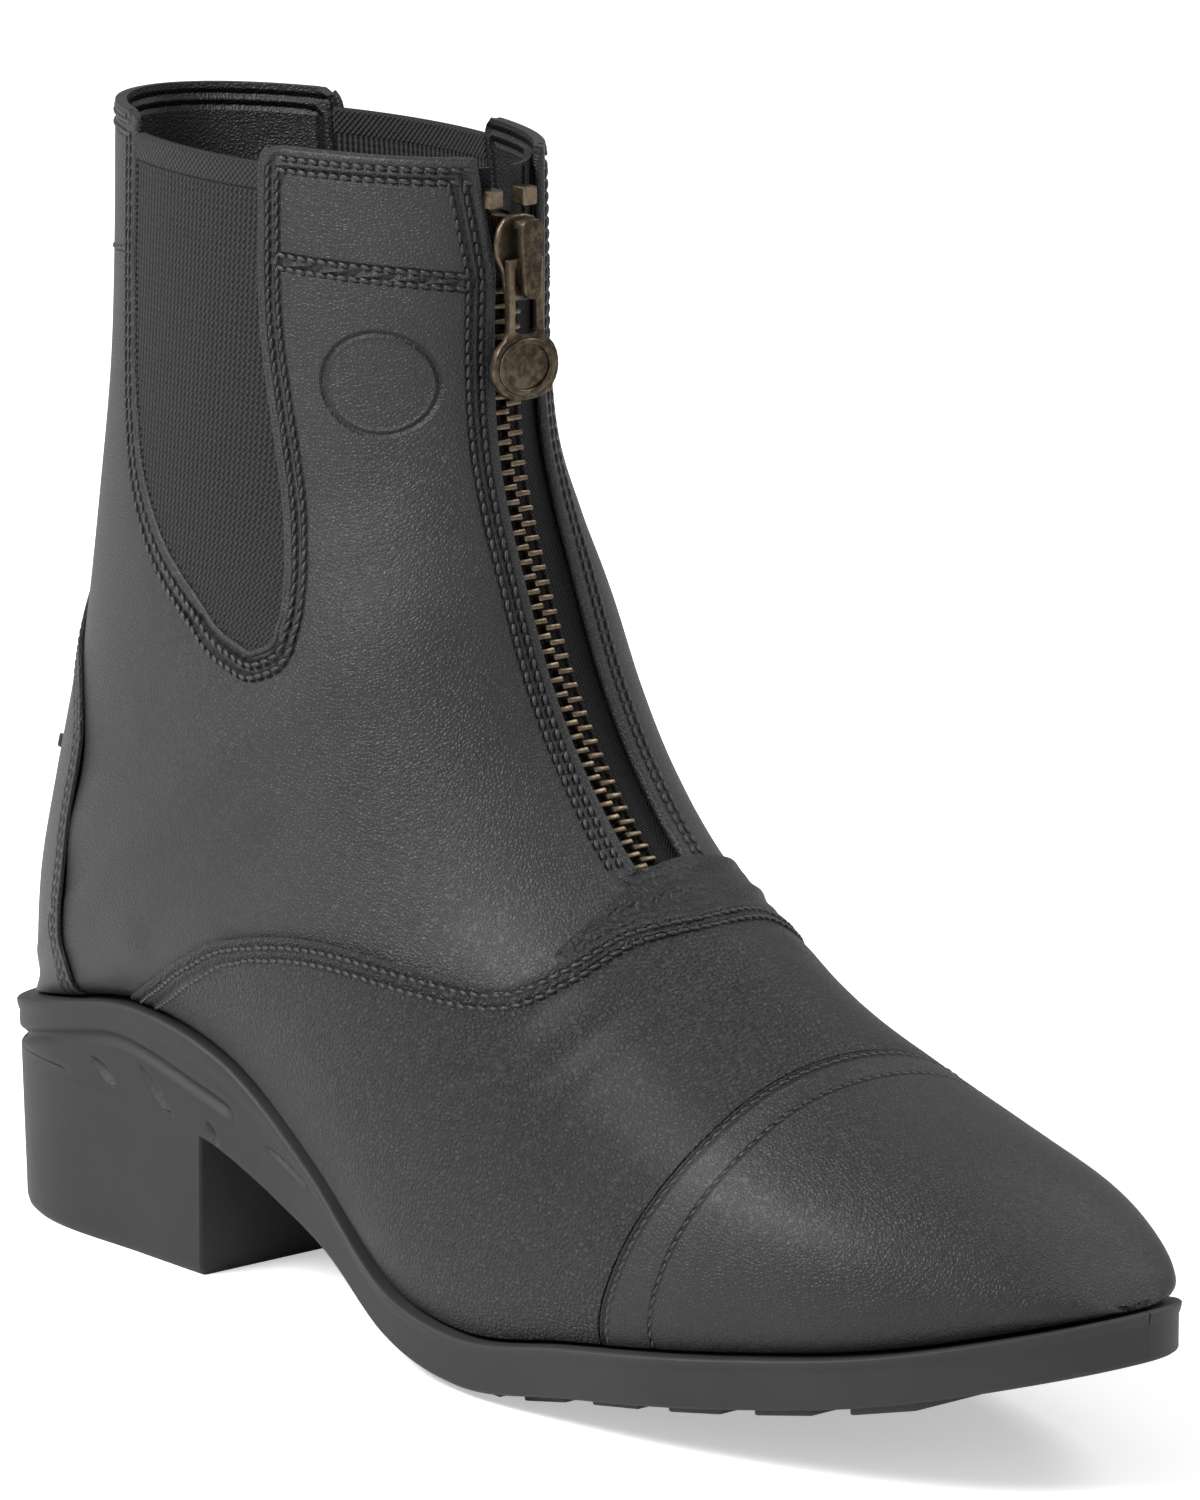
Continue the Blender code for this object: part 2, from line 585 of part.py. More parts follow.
def make_pull():
    """Pull tab: a flat frame hung on the bridge, its crossbar on the hinge's axis."""
    foot, top, face = slider_frame()
    rise = face + 3 * GAP + SLIDER_PLATE
    axis_x = rise + (BRIDGE_HEIGHT - BRIDGE_BAR) / 2
    axis_z = (foot + top) / 2 - 2 * GAP
    half_bar = PULL_BAR / 2
    neck = BRIDGE_WIDTH / 2 + 2 * GAP + PULL_RAIL
    window = neck - PULL_RAIL
    plate_top = -PULL_WINDOW - half_bar
    reach = PULL_LENGTH + plate_top
    outer = [(neck, half_bar), (neck, plate_top + PULL_RAIL)]
    for i in range(9):
        turn = radians(65 - 155 * i / 8)
        outer.append((PULL_WIDTH / 2 * cos(turn) ** 0.8 if i < 8 else 0.0,
                      plate_top - reach / 2 + reach / 2 * sin(turn)))
    bm = bmesh.new()
    left = [(-y, z) for y, z in reversed(outer[:-1])]
    ring = [bm.verts.new(Vector((-half_bar, y, z))) for y, z in outer + left]
    hole = [bm.verts.new(Vector((-half_bar, y, z))) for y, z in
            ((window, -half_bar), (window, plate_top), (-window, plate_top), (-window, -half_bar))]
    edges = [bm.edges.new(pair) for loop in (ring, hole) for pair in zip(loop, loop[1:] + loop[:1])]
    bmesh.ops.triangle_fill(bm, edges=edges, use_beauty=True)
    made = bmesh.ops.extrude_face_region(bm, geom=bm.faces[:])
    moved = [item for item in made["geom"] if isinstance(item, bmesh.types.BMVert)]
    bmesh.ops.translate(bm, verts=moved, vec=(PULL_BAR, 0, 0))
    pull = add_object("pull_tab", bm, "brass")
    pull.location = place(axis_x, 0.0, axis_z)
    return pull


def sole_ring(bm, along, profile, breast=None):
    """Points round one cut of the sole: insets and heights down one side and up the other."""
    ring = []
    for side, steps in ((-1, profile), (1, list(reversed(profile)))):
        for inset, height in steps:
            x, lateral, medial, centre = outline(along, inset)
            if breast is not None:
                x = breast
            y = centre - lateral if side < 0 else centre + medial
            ring.append(bm.verts.new(place(x, y, height(x))))
    return ring


def loft(name, rings, bm, look):
    count = len(rings[0])
    for a, b in zip(rings, rings[1:]):
        for i in range(count):
            bm.faces.new([a[i], a[(i + 1) % count], b[(i + 1) % count], b[i]])
    bm.faces.new(list(reversed(rings[0])))
    bm.faces.new(rings[-1])
    bmesh.ops.dissolve_degenerate(bm, dist=1e-7, edges=bm.edges)
    return add_object(name, bm, look)


def make_outsole():
    """Moulded unit: rim and side wall, heel block, arch, bars under the ball and toe."""
    lip = SOLE_EDGE / 3
    step = RIM / 8
    profile = [(0.0, lambda x: rim(x) - GAP), (0.0, lambda x: rim(x) - GAP - lip),
               (step, lambda x: rim(x) - GAP - lip - step), (step, lambda x: sole_bottom(x) + 2 * step),
               (3 * step, sole_bottom)]
    bm = bmesh.new()
    steps = [0.006] + [i / SOLE_CUTS for i in range(1, SOLE_CUTS)] + [0.994]
    sole = loft("outsole", [sole_ring(bm, along, profile) for along in steps], bm, "rubber")
    bm = bmesh.new()
    foot = step + HEEL_TAPER / 2
    heel_profile = [(step, lambda x: sole_bottom(x) + 2 * step), (foot, lambda x: LUG / 2),
                    (foot + LUG / 2, lambda x: 0.0)]
    last_along = along_at(HEEL_BREAST)
    rings = [sole_ring(bm, last_along * (i + 0.06) / 12.06, heel_profile) for i in range(12)]
    rings.append(sole_ring(bm, last_along, heel_profile, HEEL_BREAST))
    boolean(sole, loft("heel_block", rings, bm, "rubber"), "UNION")
    pitch = (BARS_END - BARS_START) / BARS
    for i in range(BARS):
        near, far = (BARS_START + pitch * (i + k) for k in (0.0, BAR_SHARE))
        corners = []
        for share in (near, far):
            x = SOLE_LENGTH * share
            _, lateral, medial, centre = outline(along_at(x), 4 * step + 2 * LUG)
            corners.append((x, centre - lateral, centre + medial))
        make_bar(sole, "bar_%d" % (i + 1), corners)
    for side in (-1, 1):
        for i, (share, size) in enumerate(DIMPLES):
            make_dimple(sole, "dimple_%d_%d" % (side, i), share, size, side)
    return sole


def make_bar(sole, name, corners):
    """One tread bar, flat where the ball stands on the floor."""
    bm = bmesh.new()
    rings = []
    for x, near, far in corners:
        low = max(0.0, sole_bottom(x) - LUG)
        if min(sole_bottom(c[0]) for c in corners) < LUG:
            low = 0.0
        high = sole_bottom(x) + LUG / 2
        section = ((near, low), (far, low), (far, high), (near, high))
        rings.append([bm.verts.new(place(x, y, z)) for y, z in section])
    boolean(sole, loft(name, rings, bm, "rubber"), "UNION")


def make_dimple(sole, name, share, size, side):
    """Leaf-shaped hollow pressed in the side wall over the heel."""
    x = SOLE_LENGTH * share
    _, lateral, medial, centre = outline(along_at(x), RIM / 8)
    y = centre - lateral if side < 0 else centre + medial
    bm = bmesh.new()
    bmesh.ops.create_icosphere(bm, subdivisions=2, radius=0.5)
    for vert in bm.verts:
        a, b, c = vert.co
        u, w = a * SOLE_LENGTH * size, c * DIMPLE_HEIGHT
        vert.co = place(x + u * cos(DIMPLE_TILT) + w * sin(DIMPLE_TILT), y + b * DIMPLE_DEPTH,
                        rim(x) - DIMPLE_DROP - u * sin(DIMPLE_TILT) + w * cos(DIMPLE_TILT))
    boolean(sole, add_object(name, bm, "rubber"), "DIFFERENCE")


def make_insole():
    """Foot bed on top of the sole, cut to the inside of the upper."""
    seat = RIM + WALL + 4 * GAP
    profile = [(seat + INSOLE * 0.9, lambda x: rim(x) + INSOLE), (seat, rim)]
    bm = bmesh.new()
    steps = [0.02] + [i / SOLE_CUTS for i in range(2, SOLE_CUTS - 1)] + [0.98]
    return loft("insole", [sole_ring(bm, along, profile) for along in steps], bm, "fabric")


def main():
    for old in list(bpy.data.objects):
        bpy.data.objects.remove(old, do_unlink=True)
    make_outsole()
    make_insole()
    make_upper()
    make_toe_cap()
    make_vamp()
    make_counter()
    make_spur_rest()
    make_gusset()
    make_gore("gore_lateral", -1)
    make_gore("gore_medial", 1)
    make_tape("zip_tape_lateral", -1)
    make_tape("zip_tape_medial", 1)
    make_chain()
    make_stops()
    make_slider()
    make_pull()


main()
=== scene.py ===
# %% [markdown]
# # A zip-front paddock boot
# The boot is lasted: flat pieces of leather are cut, sewn, and pulled over a wooden last.
# The scene works the same way. One surface function stands for the last, every leather
# piece starts as a flat grid, and draping moves its points on to the last.

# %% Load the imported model
import bpy
import bmesh
import json
import numpy as np
from math import cos, pi, radians, sin
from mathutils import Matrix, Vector


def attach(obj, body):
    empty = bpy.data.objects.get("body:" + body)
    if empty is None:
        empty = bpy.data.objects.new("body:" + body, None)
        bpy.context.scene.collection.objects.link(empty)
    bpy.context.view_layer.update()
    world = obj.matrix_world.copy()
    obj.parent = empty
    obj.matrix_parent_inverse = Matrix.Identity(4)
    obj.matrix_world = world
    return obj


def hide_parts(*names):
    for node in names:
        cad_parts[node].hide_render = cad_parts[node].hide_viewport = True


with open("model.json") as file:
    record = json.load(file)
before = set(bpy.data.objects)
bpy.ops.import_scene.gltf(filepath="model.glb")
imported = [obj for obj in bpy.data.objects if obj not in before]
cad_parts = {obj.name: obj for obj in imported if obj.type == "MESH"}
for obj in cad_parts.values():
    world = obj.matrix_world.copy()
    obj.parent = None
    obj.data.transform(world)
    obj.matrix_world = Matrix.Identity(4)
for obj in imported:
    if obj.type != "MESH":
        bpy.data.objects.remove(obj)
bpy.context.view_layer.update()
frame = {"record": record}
RECORD = frame["record"]
BOOT = "boot"
PULL = "pull"

# %% [markdown]
# ## The last
# A last could be sculpted, but then no seam would know where it is. Here it is a table of
# sections, the same one as in the CAD source, read with numpy so that thousands of points
# are placed at once. A place on it is a row (toe 0, collar 16) and a signed share: 0 on the
# crown, -1 at the lateral edge, 1 at the medial edge.

# %% Sizes in metres, and the tables of the last
SOLE_LENGTH, BALL_WIDTH, BOOT_HEIGHT = 0.266, 0.092, 0.201
RIM_HEIGHT, RIM, SOLE_EDGE, LUG = 0.0455, 0.0035, 0.009, 0.0016
WALL, GUSSET, ELASTIC = 0.002, 0.0008, 0.0014
FEATHER, GAP = 0.0004, 0.0003
TAPE, TAPE_CLEAR, TAPE_WIDTH, TAPE_OPEN = 0.0007, 0.0007, 0.009, 0.0022
SLOT_SIDE, SLOT_FAR, SLOT_SPREAD = 0.0036, 0.010, 0.8
SLIDER_TOP, SLIDER_LENGTH, TOOTH_PITCH = 0.0095, 0.0147, 0.0026
HEEL_BREAST = 0.0735

OUTLINE = [(0.00, 0.790, 0.785, 0.000), (0.15, 0.704, 0.700, 0.000), (0.30, 0.440, 0.440, -0.009),
           (0.42, 0.357, 0.343, -0.015), (0.52, 0.423, 0.388, -0.006), (0.64, 0.476, 0.456, 0.023),
           (0.75, 0.503, 0.498, 0.064), (0.86, 0.546, 0.552, 0.115), (1.00, 0.606, 0.606, 0.165)]
RIM_LINE = [(0.00, 0.780), (0.12, 0.930), (0.20, 1.000), (0.30, 0.900), (0.40, 0.592),
            (0.50, 0.290), (0.58, 0.227), (0.68, 0.320), (0.80, 0.420), (0.90, 0.520), (1.00, 0.675)]
EDGE_LINE = [(0.00, 0.87), (0.10, 1.36), (0.18, 1.84), (0.26, 1.95), (0.316, 1.88), (0.357, 1.64),
             (0.395, 1.34), (0.44, 1.05), (0.50, 0.96), (0.56, 1.00), (1.00, 1.00)]
BACK_LINE = [(0.00, 0.0000), (0.10, -0.0025), (0.21, 0.0080), (0.33, 0.0235), (0.45, 0.0360),
             (0.57, 0.0470), (0.69, 0.0560), (0.84, 0.0590), (1.00, 0.0582)]
#        bottom  crown_x crown_z lateral medial widest top  low
LAST = [(1.000, 0.9868, 0.0000, 0.011, 0.011, 0.50, 2.2, 2.4),
        (0.930, 0.9650, 0.0286, 0.134, 0.136, 0.60, 2.2, 2.6),
        (0.860, 0.9340, 0.0663, 0.228, 0.230, 0.66, 2.2, 2.8),
        (0.790, 0.8910, 0.1012, 0.315, 0.317, 0.70, 2.2, 3.0),
        (0.710, 0.8330, 0.1330, 0.380, 0.381, 0.74, 2.2, 3.0),
        (0.630, 0.7720, 0.1738, 0.418, 0.419, 0.76, 2.1, 3.0),
        (0.540, 0.7125, 0.2192, 0.435, 0.436, 0.72, 2.0, 2.6),
        (0.440, 0.6530, 0.2688, 0.435, 0.433, 0.62, 2.0, 2.3),
        (0.330, 0.5950, 0.3213, 0.428, 0.425, 0.55, 2.1, 2.1),
        (0.210, 0.5455, 0.3992, 0.432, 0.428, 0.53, 2.3, 2.0),
        (0.090, 0.5085, 0.4865, 0.432, 0.422, 0.50, 2.4, 2.1),
        (0.000, 0.4815, 0.5810, 0.424, 0.402, 0.48, 2.4, 2.15),
        (-0.178, 0.4635, 0.6577, 0.384, 0.372, 0.48, 2.2, 2.05),
        (-0.360, 0.4545, 0.7262, 0.346, 0.341, 0.49, 2.0, 2.0),
        (-0.571, 0.4525, 0.8111, 0.322, 0.322, 0.50, 1.9, 2.0),
        (-0.782, 0.4545, 0.9032, 0.302, 0.302, 0.50, 1.9, 2.0),
        (-1.000, 0.4560, 1.0000, 0.285, 0.285, 0.50, 1.9, 2.0)]
LAST = [(float(number),) + row for number, row in enumerate(LAST)]
COLLAR_ROW = 16.0
INSTEP_X, INSTEP_RUN, TOE_ROW, ZIP_FOOT, TAPE_TOP, SEAM_ROWS = 0.47, 0.15, 0.6, 8.02, 15.88, 0.04

CAP_EDGE = [(0.00, 5.10), (0.10, 5.08), (0.25, 4.98), (0.45, 4.94), (1.00, 4.88)]
VAMP_EDGE = [(0.00, 7.30), (0.11, 7.33), (0.20, 7.20), (0.27, 7.22), (0.35, 7.65), (0.43, 8.18),
             (0.50, 8.48), (0.64, 8.52), (0.80, 8.42), (1.00, 8.36)]
GUSSET_EDGE = [(-0.20, 7.30), (-0.10, 7.64), (0.00, 7.98), (0.10, 8.00), (0.20, 7.88), (0.30, 7.62),
               (0.37, 7.80)]
COUNTER_EDGE = [(8.72, 1.000), (9.10, 0.880), (9.90, 0.738), (10.80, 0.660), (11.50, 0.640),
                (12.20, 0.648), (12.80, 0.715), (13.45, 0.860)]
GORE = [(0.573, 0.341, 0.347), (0.580, 0.318, 0.360), (0.600, 0.286, 0.3665), (0.630, 0.245, 0.3655),
        (0.680, 0.207, 0.355), (0.745, 0.184, 0.341), (0.840, 0.171, 0.324), (0.950, 0.166, 0.317),
        (1.050, 0.164, 0.315)]


# %% Read the tables on a soft curve
def smooth(table, column, at):
    rows = np.array(table, float)
    xs, ys = rows[:, 0], rows[:, column]
    at = np.clip(np.asarray(at, float), xs[0], xs[-1])
    run = np.diff(xs)
    rise = np.diff(ys) / run
    slope = np.empty_like(ys)
    slope[0], slope[-1] = rise[0], rise[-1]
    slope[1:-1] = (rise[:-1] * run[1:] + rise[1:] * run[:-1]) / (run[:-1] + run[1:])
    i = np.clip(np.searchsorted(xs, at, side="right") - 1, 0, len(run) - 1)
    t = (at - xs[i]) / run[i]
    return (ys[i] * (1 + 2 * t) * (1 - t) ** 2 + slope[i] * run[i] * t * (1 - t) ** 2
            + ys[i + 1] * t * t * (3 - 2 * t) + slope[i + 1] * run[i] * t * t * (t - 1))


def outline(along, inset=0.0):
    along = np.asarray(along, float)
    x = inset + (SOLE_LENGTH - 2 * inset) * (1 - np.cos(pi * along)) / 2
    swell = np.sin(pi * along)
    cut = inset * np.minimum(1.0, 3 * swell)
    lateral = np.maximum(BALL_WIDTH * swell * smooth(OUTLINE, 1, along) - cut, 0.0)
    medial = np.maximum(BALL_WIDTH * swell * smooth(OUTLINE, 2, along) - cut, 0.0)
    return x, lateral, medial, BALL_WIDTH * smooth(OUTLINE, 3, along)


OUTLINE_STEPS = np.arange(61) / 60
_, left_half, right_half, outline_centre = outline(OUTLINE_STEPS)
MIDDLE = (min(outline_centre - left_half) + max(outline_centre + right_half)) / 2


def along_at(x):
    return np.arccos(np.clip(1 - 2 * np.asarray(x, float) / SOLE_LENGTH, -1, 1)) / pi


def rim(x):
    return RIM_HEIGHT * smooth(RIM_LINE, 1, np.asarray(x, float) / SOLE_LENGTH)


def sole_bottom(x):
    return rim(x) - SOLE_EDGE * smooth(EDGE_LINE, 1, np.asarray(x, float) / SOLE_LENGTH)


def place(x, y, z):
    x, y, z = np.broadcast_arrays(np.asarray(x, float), np.asarray(y, float), np.asarray(z, float))
    return np.stack([x - SOLE_LENGTH / 2, y - MIDDLE, z], axis=-1)


# %% The surface of the last
def crown(row):
    toe = rim(SOLE_LENGTH)
    return SOLE_LENGTH * smooth(LAST, 2, row), toe + (BOOT_HEIGHT - toe) * smooth(LAST, 3, row)


def bottom_point(bottom, grow):
    on_foot = np.maximum(bottom, 0)
    cut = RIM - grow
    x, lateral, medial, centre = outline(on_foot, cut)
    seat = rim(0.0) + FEATHER
    up = np.maximum(-bottom, 0)
    foot = bottom >= 0
    x = np.where(foot, x, cut + SOLE_LENGTH * smooth(BACK_LINE, 1, up))
    z = np.where(foot, rim(x) + FEATHER, seat + up * (BOOT_HEIGHT - seat))
    return x, z, np.where(foot, lateral, 0.0), np.where(foot, medial, 0.0), np.where(foot, centre, 0.0)


def crown_point(row, grow):
    x, z = crown(row)
    ahead, behind = crown(np.minimum(row + 0.05, COLLAR_ROW)), crown(np.maximum(row - 0.05, 0.0))
    run, rise = ahead[0] - behind[0], ahead[1] - behind[1]
    size = np.hypot(run, rise)
    x, z = x + grow * rise / size, z - grow * run / size
    toe = bottom_point(np.ones_like(row), grow)
    rooted = np.minimum(1.0, row / TOE_ROW)
    return toe[0] + (x - toe[0]) * rooted, toe[1] + (z - toe[1]) * rooted


def crown_centre(x):
    fade = np.clip((x / SOLE_LENGTH - INSTEP_X) / INSTEP_RUN, 0, 1)
    return BALL_WIDTH * smooth(OUTLINE, 3, along_at(x)) * fade


def last(row, spread, grow=0.0):
    """Points of the last: row, signed share from crown to edge, and how far outside it."""
    row, spread, grow = np.broadcast_arrays(*(np.asarray(v, float) for v in (row, spread, grow)))
    share, side = np.abs(spread), np.where(spread < 0, -1.0, 1.0)
    top_x, top_z = crown_point(row, grow)
    end_x, end_z, lateral, medial, end_centre = bottom_point(smooth(LAST, 1, row), grow)
    width = BALL_WIDTH * np.where(side < 0, smooth(LAST, 4, row), smooth(LAST, 5, row)) + grow
    foot = np.where(side < 0, lateral, medial)
    width = np.maximum(np.maximum(width, foot * 1.002), GAP)
    widest, top_round, low_round = (smooth(LAST, column, row) for column in (6, 7, 8))
    angle = np.clip(share, 0, 0.5) * pi
    across_top = np.sin(angle) ** (2 / top_round)
    down_top = widest * (1 - np.cos(angle) ** (2 / top_round))
    flare = np.minimum(foot / width, 0.998)
    angle = np.clip(2 * share - 1, 0, 1) * np.arccos(flare ** (low_round / 2))
    across_low = np.cos(angle) ** (2 / low_round)
    deep = (1 - flare ** low_round) ** (1 / low_round)
    down_low = widest + (1 - widest) * np.sin(angle) ** (2 / low_round) / deep
    across = np.where(share < 0.5, across_top, across_low)
    down = np.where(share < 0.5, down_top, down_low)
    top_centre = crown_centre(top_x)
    y = top_centre + (end_centre - top_centre) * down + side * width * across
    return place(top_x + (end_x - top_x) * down, y, top_z + (end_z - top_z) * down)


def spread_at(row, y, grow=0.0):
    """Signed share of the place that lies y beside the middle of the crown."""
    row, y = np.asarray(row, float), np.asarray(y, float)
    offset = np.abs(y - crown_centre(crown_point(row, grow)[0]))
    width = BALL_WIDTH * np.where(y < 0, smooth(LAST, 4, row), smooth(LAST, 5, row)) + grow
    return np.sign(y) * np.arcsin(np.clip(offset / width, 0, 1) ** (smooth(LAST, 7, row) / 2)) / pi


def row_at_height(z):
    low, high = 0.0, COLLAR_ROW
    for _ in range(40):
        mid = (low + high) / 2
        low, high = (mid, high) if crown(mid)[1] < z else (low, mid)
    return low


# %% Find the place on the last that is seen at x, z from the side
SEEK_ROWS, SEEK_SHARES = np.meshgrid(np.arange(9.0, 16.01, 0.1), np.arange(0.1, 1.0, 0.02), indexing="ij")
SEEK = last(SEEK_ROWS, -SEEK_SHARES)


def from_side(x, z):
    """Row and share under points of a side view, by the nearest place and then Newton steps."""
    x, z = np.atleast_1d(np.asarray(x, float)) - SOLE_LENGTH / 2, np.atleast_1d(np.asarray(z, float))
    rows, shares = [], []
    for px, pz in zip(x, z):
        near = np.argmin((SEEK[..., 0] - px) ** 2 + (SEEK[..., 2] - pz) ** 2)
        rows.append(SEEK_ROWS.flat[near])
        shares.append(SEEK_SHARES.flat[near])
    row, share = np.array(rows), np.array(shares)
    step = 1e-3
    for _ in range(5):
        here = last(row, -share)
        by_row = (last(np.minimum(row + step, COLLAR_ROW), -share) - here) / step
        by_share = (last(row, -share - step) - here) / step
        by_row = np.where(row[:, None] + step > COLLAR_ROW, (here - last(row - step, -share)) / step, by_row)
        miss_x, miss_z = x - here[:, 0], z - here[:, 2]
        det = by_row[:, 0] * by_share[:, 2] - by_share[:, 0] * by_row[:, 2]
        det = np.where(np.abs(det) < 1e-9, 1e-9, det)
        row = np.clip(row + (miss_x * by_share[:, 2] - by_share[:, 0] * miss_z) / det, 8.0, COLLAR_ROW)
        share = np.clip(share + (by_row[:, 0] * miss_z - miss_x * by_row[:, 2]) / det, 0.05, 1.0)
    return row, share


print("last: ball", last(6.0, -0.5), "collar front", last(16.0, 0.0))

# %% [markdown]
# ## Bench tools
# A few helpers do what a maker's hands do again and again: cut a flat sheet, pull it over
# the last, give it thickness, and sew along its edge. The sheet is Blender's own grid
# primitive, and thickness is a Solidify modifier that is applied at once.

# %% Helpers for cutting, draping and finishing
SHARP = radians(50)         # edges sharper than this are rounded
SIDES = ((-1, "lateral"), (1, "medial"))
SAME_PLACE = 2e-6           # points nearer than this become one
NO_EDGE = 0.02              # the edge value of a place without a seam


def nothing_selected():
    if bpy.context.mode != "OBJECT":
        bpy.ops.object.mode_set(mode="OBJECT")
    bpy.ops.object.select_all(action="DESELECT")


def only(piece):
    nothing_selected()
    piece.select_set(True)
    bpy.context.view_layer.objects.active = piece


def modify(piece, kind, **settings):
    only(piece)
    step = piece.modifiers.new(kind.lower(), kind)
    for name, value in settings.items():
        setattr(step, name, value)
    bpy.ops.object.modifier_apply(modifier=step.name)


def thicken(piece, thickness, **more):
    """Thickness that grows inwards, with a rim round the open edges."""
    modify(piece, "SOLIDIFY", thickness=thickness, offset=-1, use_rim=True, **more)


def round_edges(piece, width, segments=2):
    modify(piece, "BEVEL", width=width, segments=segments, limit_method="ANGLE", angle_limit=SHARP)


def edit_all(piece, *steps):
    """Run the steps one after the other in edit mode, each on the whole mesh."""
    only(piece)
    bpy.ops.object.mode_set(mode="EDIT")
    for step in steps:
        bpy.ops.mesh.select_all(action="SELECT")
        step()
    bpy.ops.object.mode_set(mode="OBJECT")


def normals_out():
    bpy.ops.mesh.normals_make_consistent(inside=False)


def merge(piece, distance):
    edit_all(piece, lambda: bpy.ops.mesh.remove_doubles(threshold=distance))


def new_object(name, data):
    piece = bpy.data.objects.new(name, data)
    bpy.context.collection.objects.link(piece)
    return piece


def from_lists(name, points, faces):
    """A piece from blocks of points and the faces between them."""
    mesh = bpy.data.meshes.new(name)
    mesh.from_pydata(np.concatenate(points).tolist(), [], faces)
    mesh.update()
    return new_object(name, mesh)


def join_halves(halves, name):
    """One piece from a left and a right half that meet at the back."""
    nothing_selected()
    for half in halves:
        half.select_set(True)
    bpy.context.view_layer.objects.active = halves[0]
    bpy.ops.object.join()
    halves[0].name = name
    merge(halves[0], 5e-5)
    return halves[0]


def points_of(piece):
    flat = np.empty(len(piece.data.vertices) * 3)
    piece.data.vertices.foreach_get("co", flat)
    return flat.reshape(-1, 3)


def move_points(piece, points):
    piece.data.vertices.foreach_set("co", np.ascontiguousarray(points, float).ravel())
    piece.data.update()


def flat_sheet(name, columns, rows):
    """A grid from 0,0 to 1,1: the leather before it is lasted."""
    nothing_selected()
    bpy.ops.mesh.primitive_grid_add(x_subdivisions=columns, y_subdivisions=rows, size=1,
                                    location=(0.5, 0.5, 0))
    piece = bpy.context.object
    piece.name = name
    piece.data.name = name
    bpy.ops.object.transform_apply(location=True, rotation=True, scale=True)
    return piece


def write_map(piece, name, u, v):
    """A UV map from one u and one v for every vertex."""
    layer = piece.data.uv_layers.get(name) or piece.data.uv_layers.new(name=name)
    corner_of = np.empty(len(piece.data.loops), int)
    piece.data.loops.foreach_get("vertex_index", corner_of)
    layer.data.foreach_set("uv", np.stack([u[corner_of], v[corner_of]], axis=1).ravel())


def write_value(piece, name, values):
    """One number for every vertex, for a material to read."""
    store = piece.data.attributes.get(name) or piece.data.attributes.new(name, "FLOAT", "POINT")
    store.data.foreach_set("value", np.ascontiguousarray(values, float).ravel())


def turn_out(piece, outward):
    """Turn the faces over if they look into the last."""
    mesh = piece.data
    normals = np.empty(len(mesh.vertices) * 3)
    mesh.vertices.foreach_get("normal", normals)
    if np.sum(normals.reshape(-1, 3) * outward) < 0:
        edit_all(piece, bpy.ops.mesh.flip_normals)


def soft_shade(piece, angle=40):
    only(piece)
    bpy.ops.object.shade_smooth_by_angle(angle=radians(angle))


def dress(piece, look, body=BOOT, slot=None, stands_for=()):
    """Give a finished piece its material, its body and what it stands for."""
    piece.data.materials.clear()
    for item in look if isinstance(look, (list, tuple)) else (look,):
        piece.data.materials.append(item)
    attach(piece, body)
    if stands_for:
        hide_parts(*stands_for)
    print(piece.name, len(piece.data.polygons), "faces")


def drape(name, columns, rows, to_last, grow, relief=None):
    """Cut a sheet, last it, and keep its place on the last as values."""
    piece = flat_sheet(name, columns, rows)
    flat = points_of(piece)
    row, spread = to_last(flat[:, 0], flat[:, 1])
    lift = grow if relief is None else grow + relief(row, spread, last(row, spread))
    move_points(piece, last(row, spread, lift))
    turn_out(piece, last(row, spread, grow + 1e-3) - last(row, spread, grow))
    write_value(piece, "row", row)
    write_value(piece, "spread", spread)
    return piece


def read_value(piece, name):
    values = np.empty(len(piece.data.vertices))
    piece.data.attributes[name].data.foreach_get("value", values)
    return values


def line_length(points):
    return np.concatenate([[0.0], np.cumsum(np.linalg.norm(np.diff(points, axis=0), axis=1))])


def resample(points, marks):
    done = line_length(points)
    return np.stack([np.interp(marks, done, points[:, k]) for k in range(points.shape[1])], axis=1)


def write_edge(piece, lines=()):
    """The distance to the nearest sewn edge, or a plain value where nothing is sewn."""
    edge = np.full(len(piece.data.vertices), NO_EDGE)
    for line in lines:
        edge = np.minimum(edge, distance_to(points_of(piece), line))
    write_value(piece, "edge", edge)


def distance_to(points, line):
    """Distance of each point to a line of points, in any number of axes."""
    best = np.full(len(points), 1e9)
    for a, b in zip(line[:-1], line[1:]):
        span = b - a
        size = max(float(span @ span), 1e-12)
        t = np.clip((points - a) @ span / size, 0, 1)
        best = np.minimum(best, np.linalg.norm(points - (a + t[:, None] * span), axis=1))
    return best


# %% [markdown]
# ## Shared effects
# Leather, thread, rubber and metal all share a few effects: fine grain, slow colour
# drift and wear. Each one is a node group with its own inputs, built once, so that a
# change shows everywhere. Plain values stay on the shader, where the export keeps them.

# %% Node groups
def new_group(name, inputs, outputs):
    group = bpy.data.node_groups.new(name, "ShaderNodeTree")
    for label, kind, default in inputs:
        socket = group.interface.new_socket(name=label, in_out="INPUT", socket_type=kind)
        if default is not None:
            socket.default_value = default
    for label, kind in outputs:
        group.interface.new_socket(name=label, in_out="OUTPUT", socket_type=kind)
    return group, group.nodes.new("NodeGroupInput"), group.nodes.new("NodeGroupOutput")


def feed(tree, value, socket):
    """Link a socket to another one, or set it to a plain value."""
    if isinstance(value, bpy.types.NodeSocket):
        tree.links.new(value, socket)
    else:
        socket.default_value = value


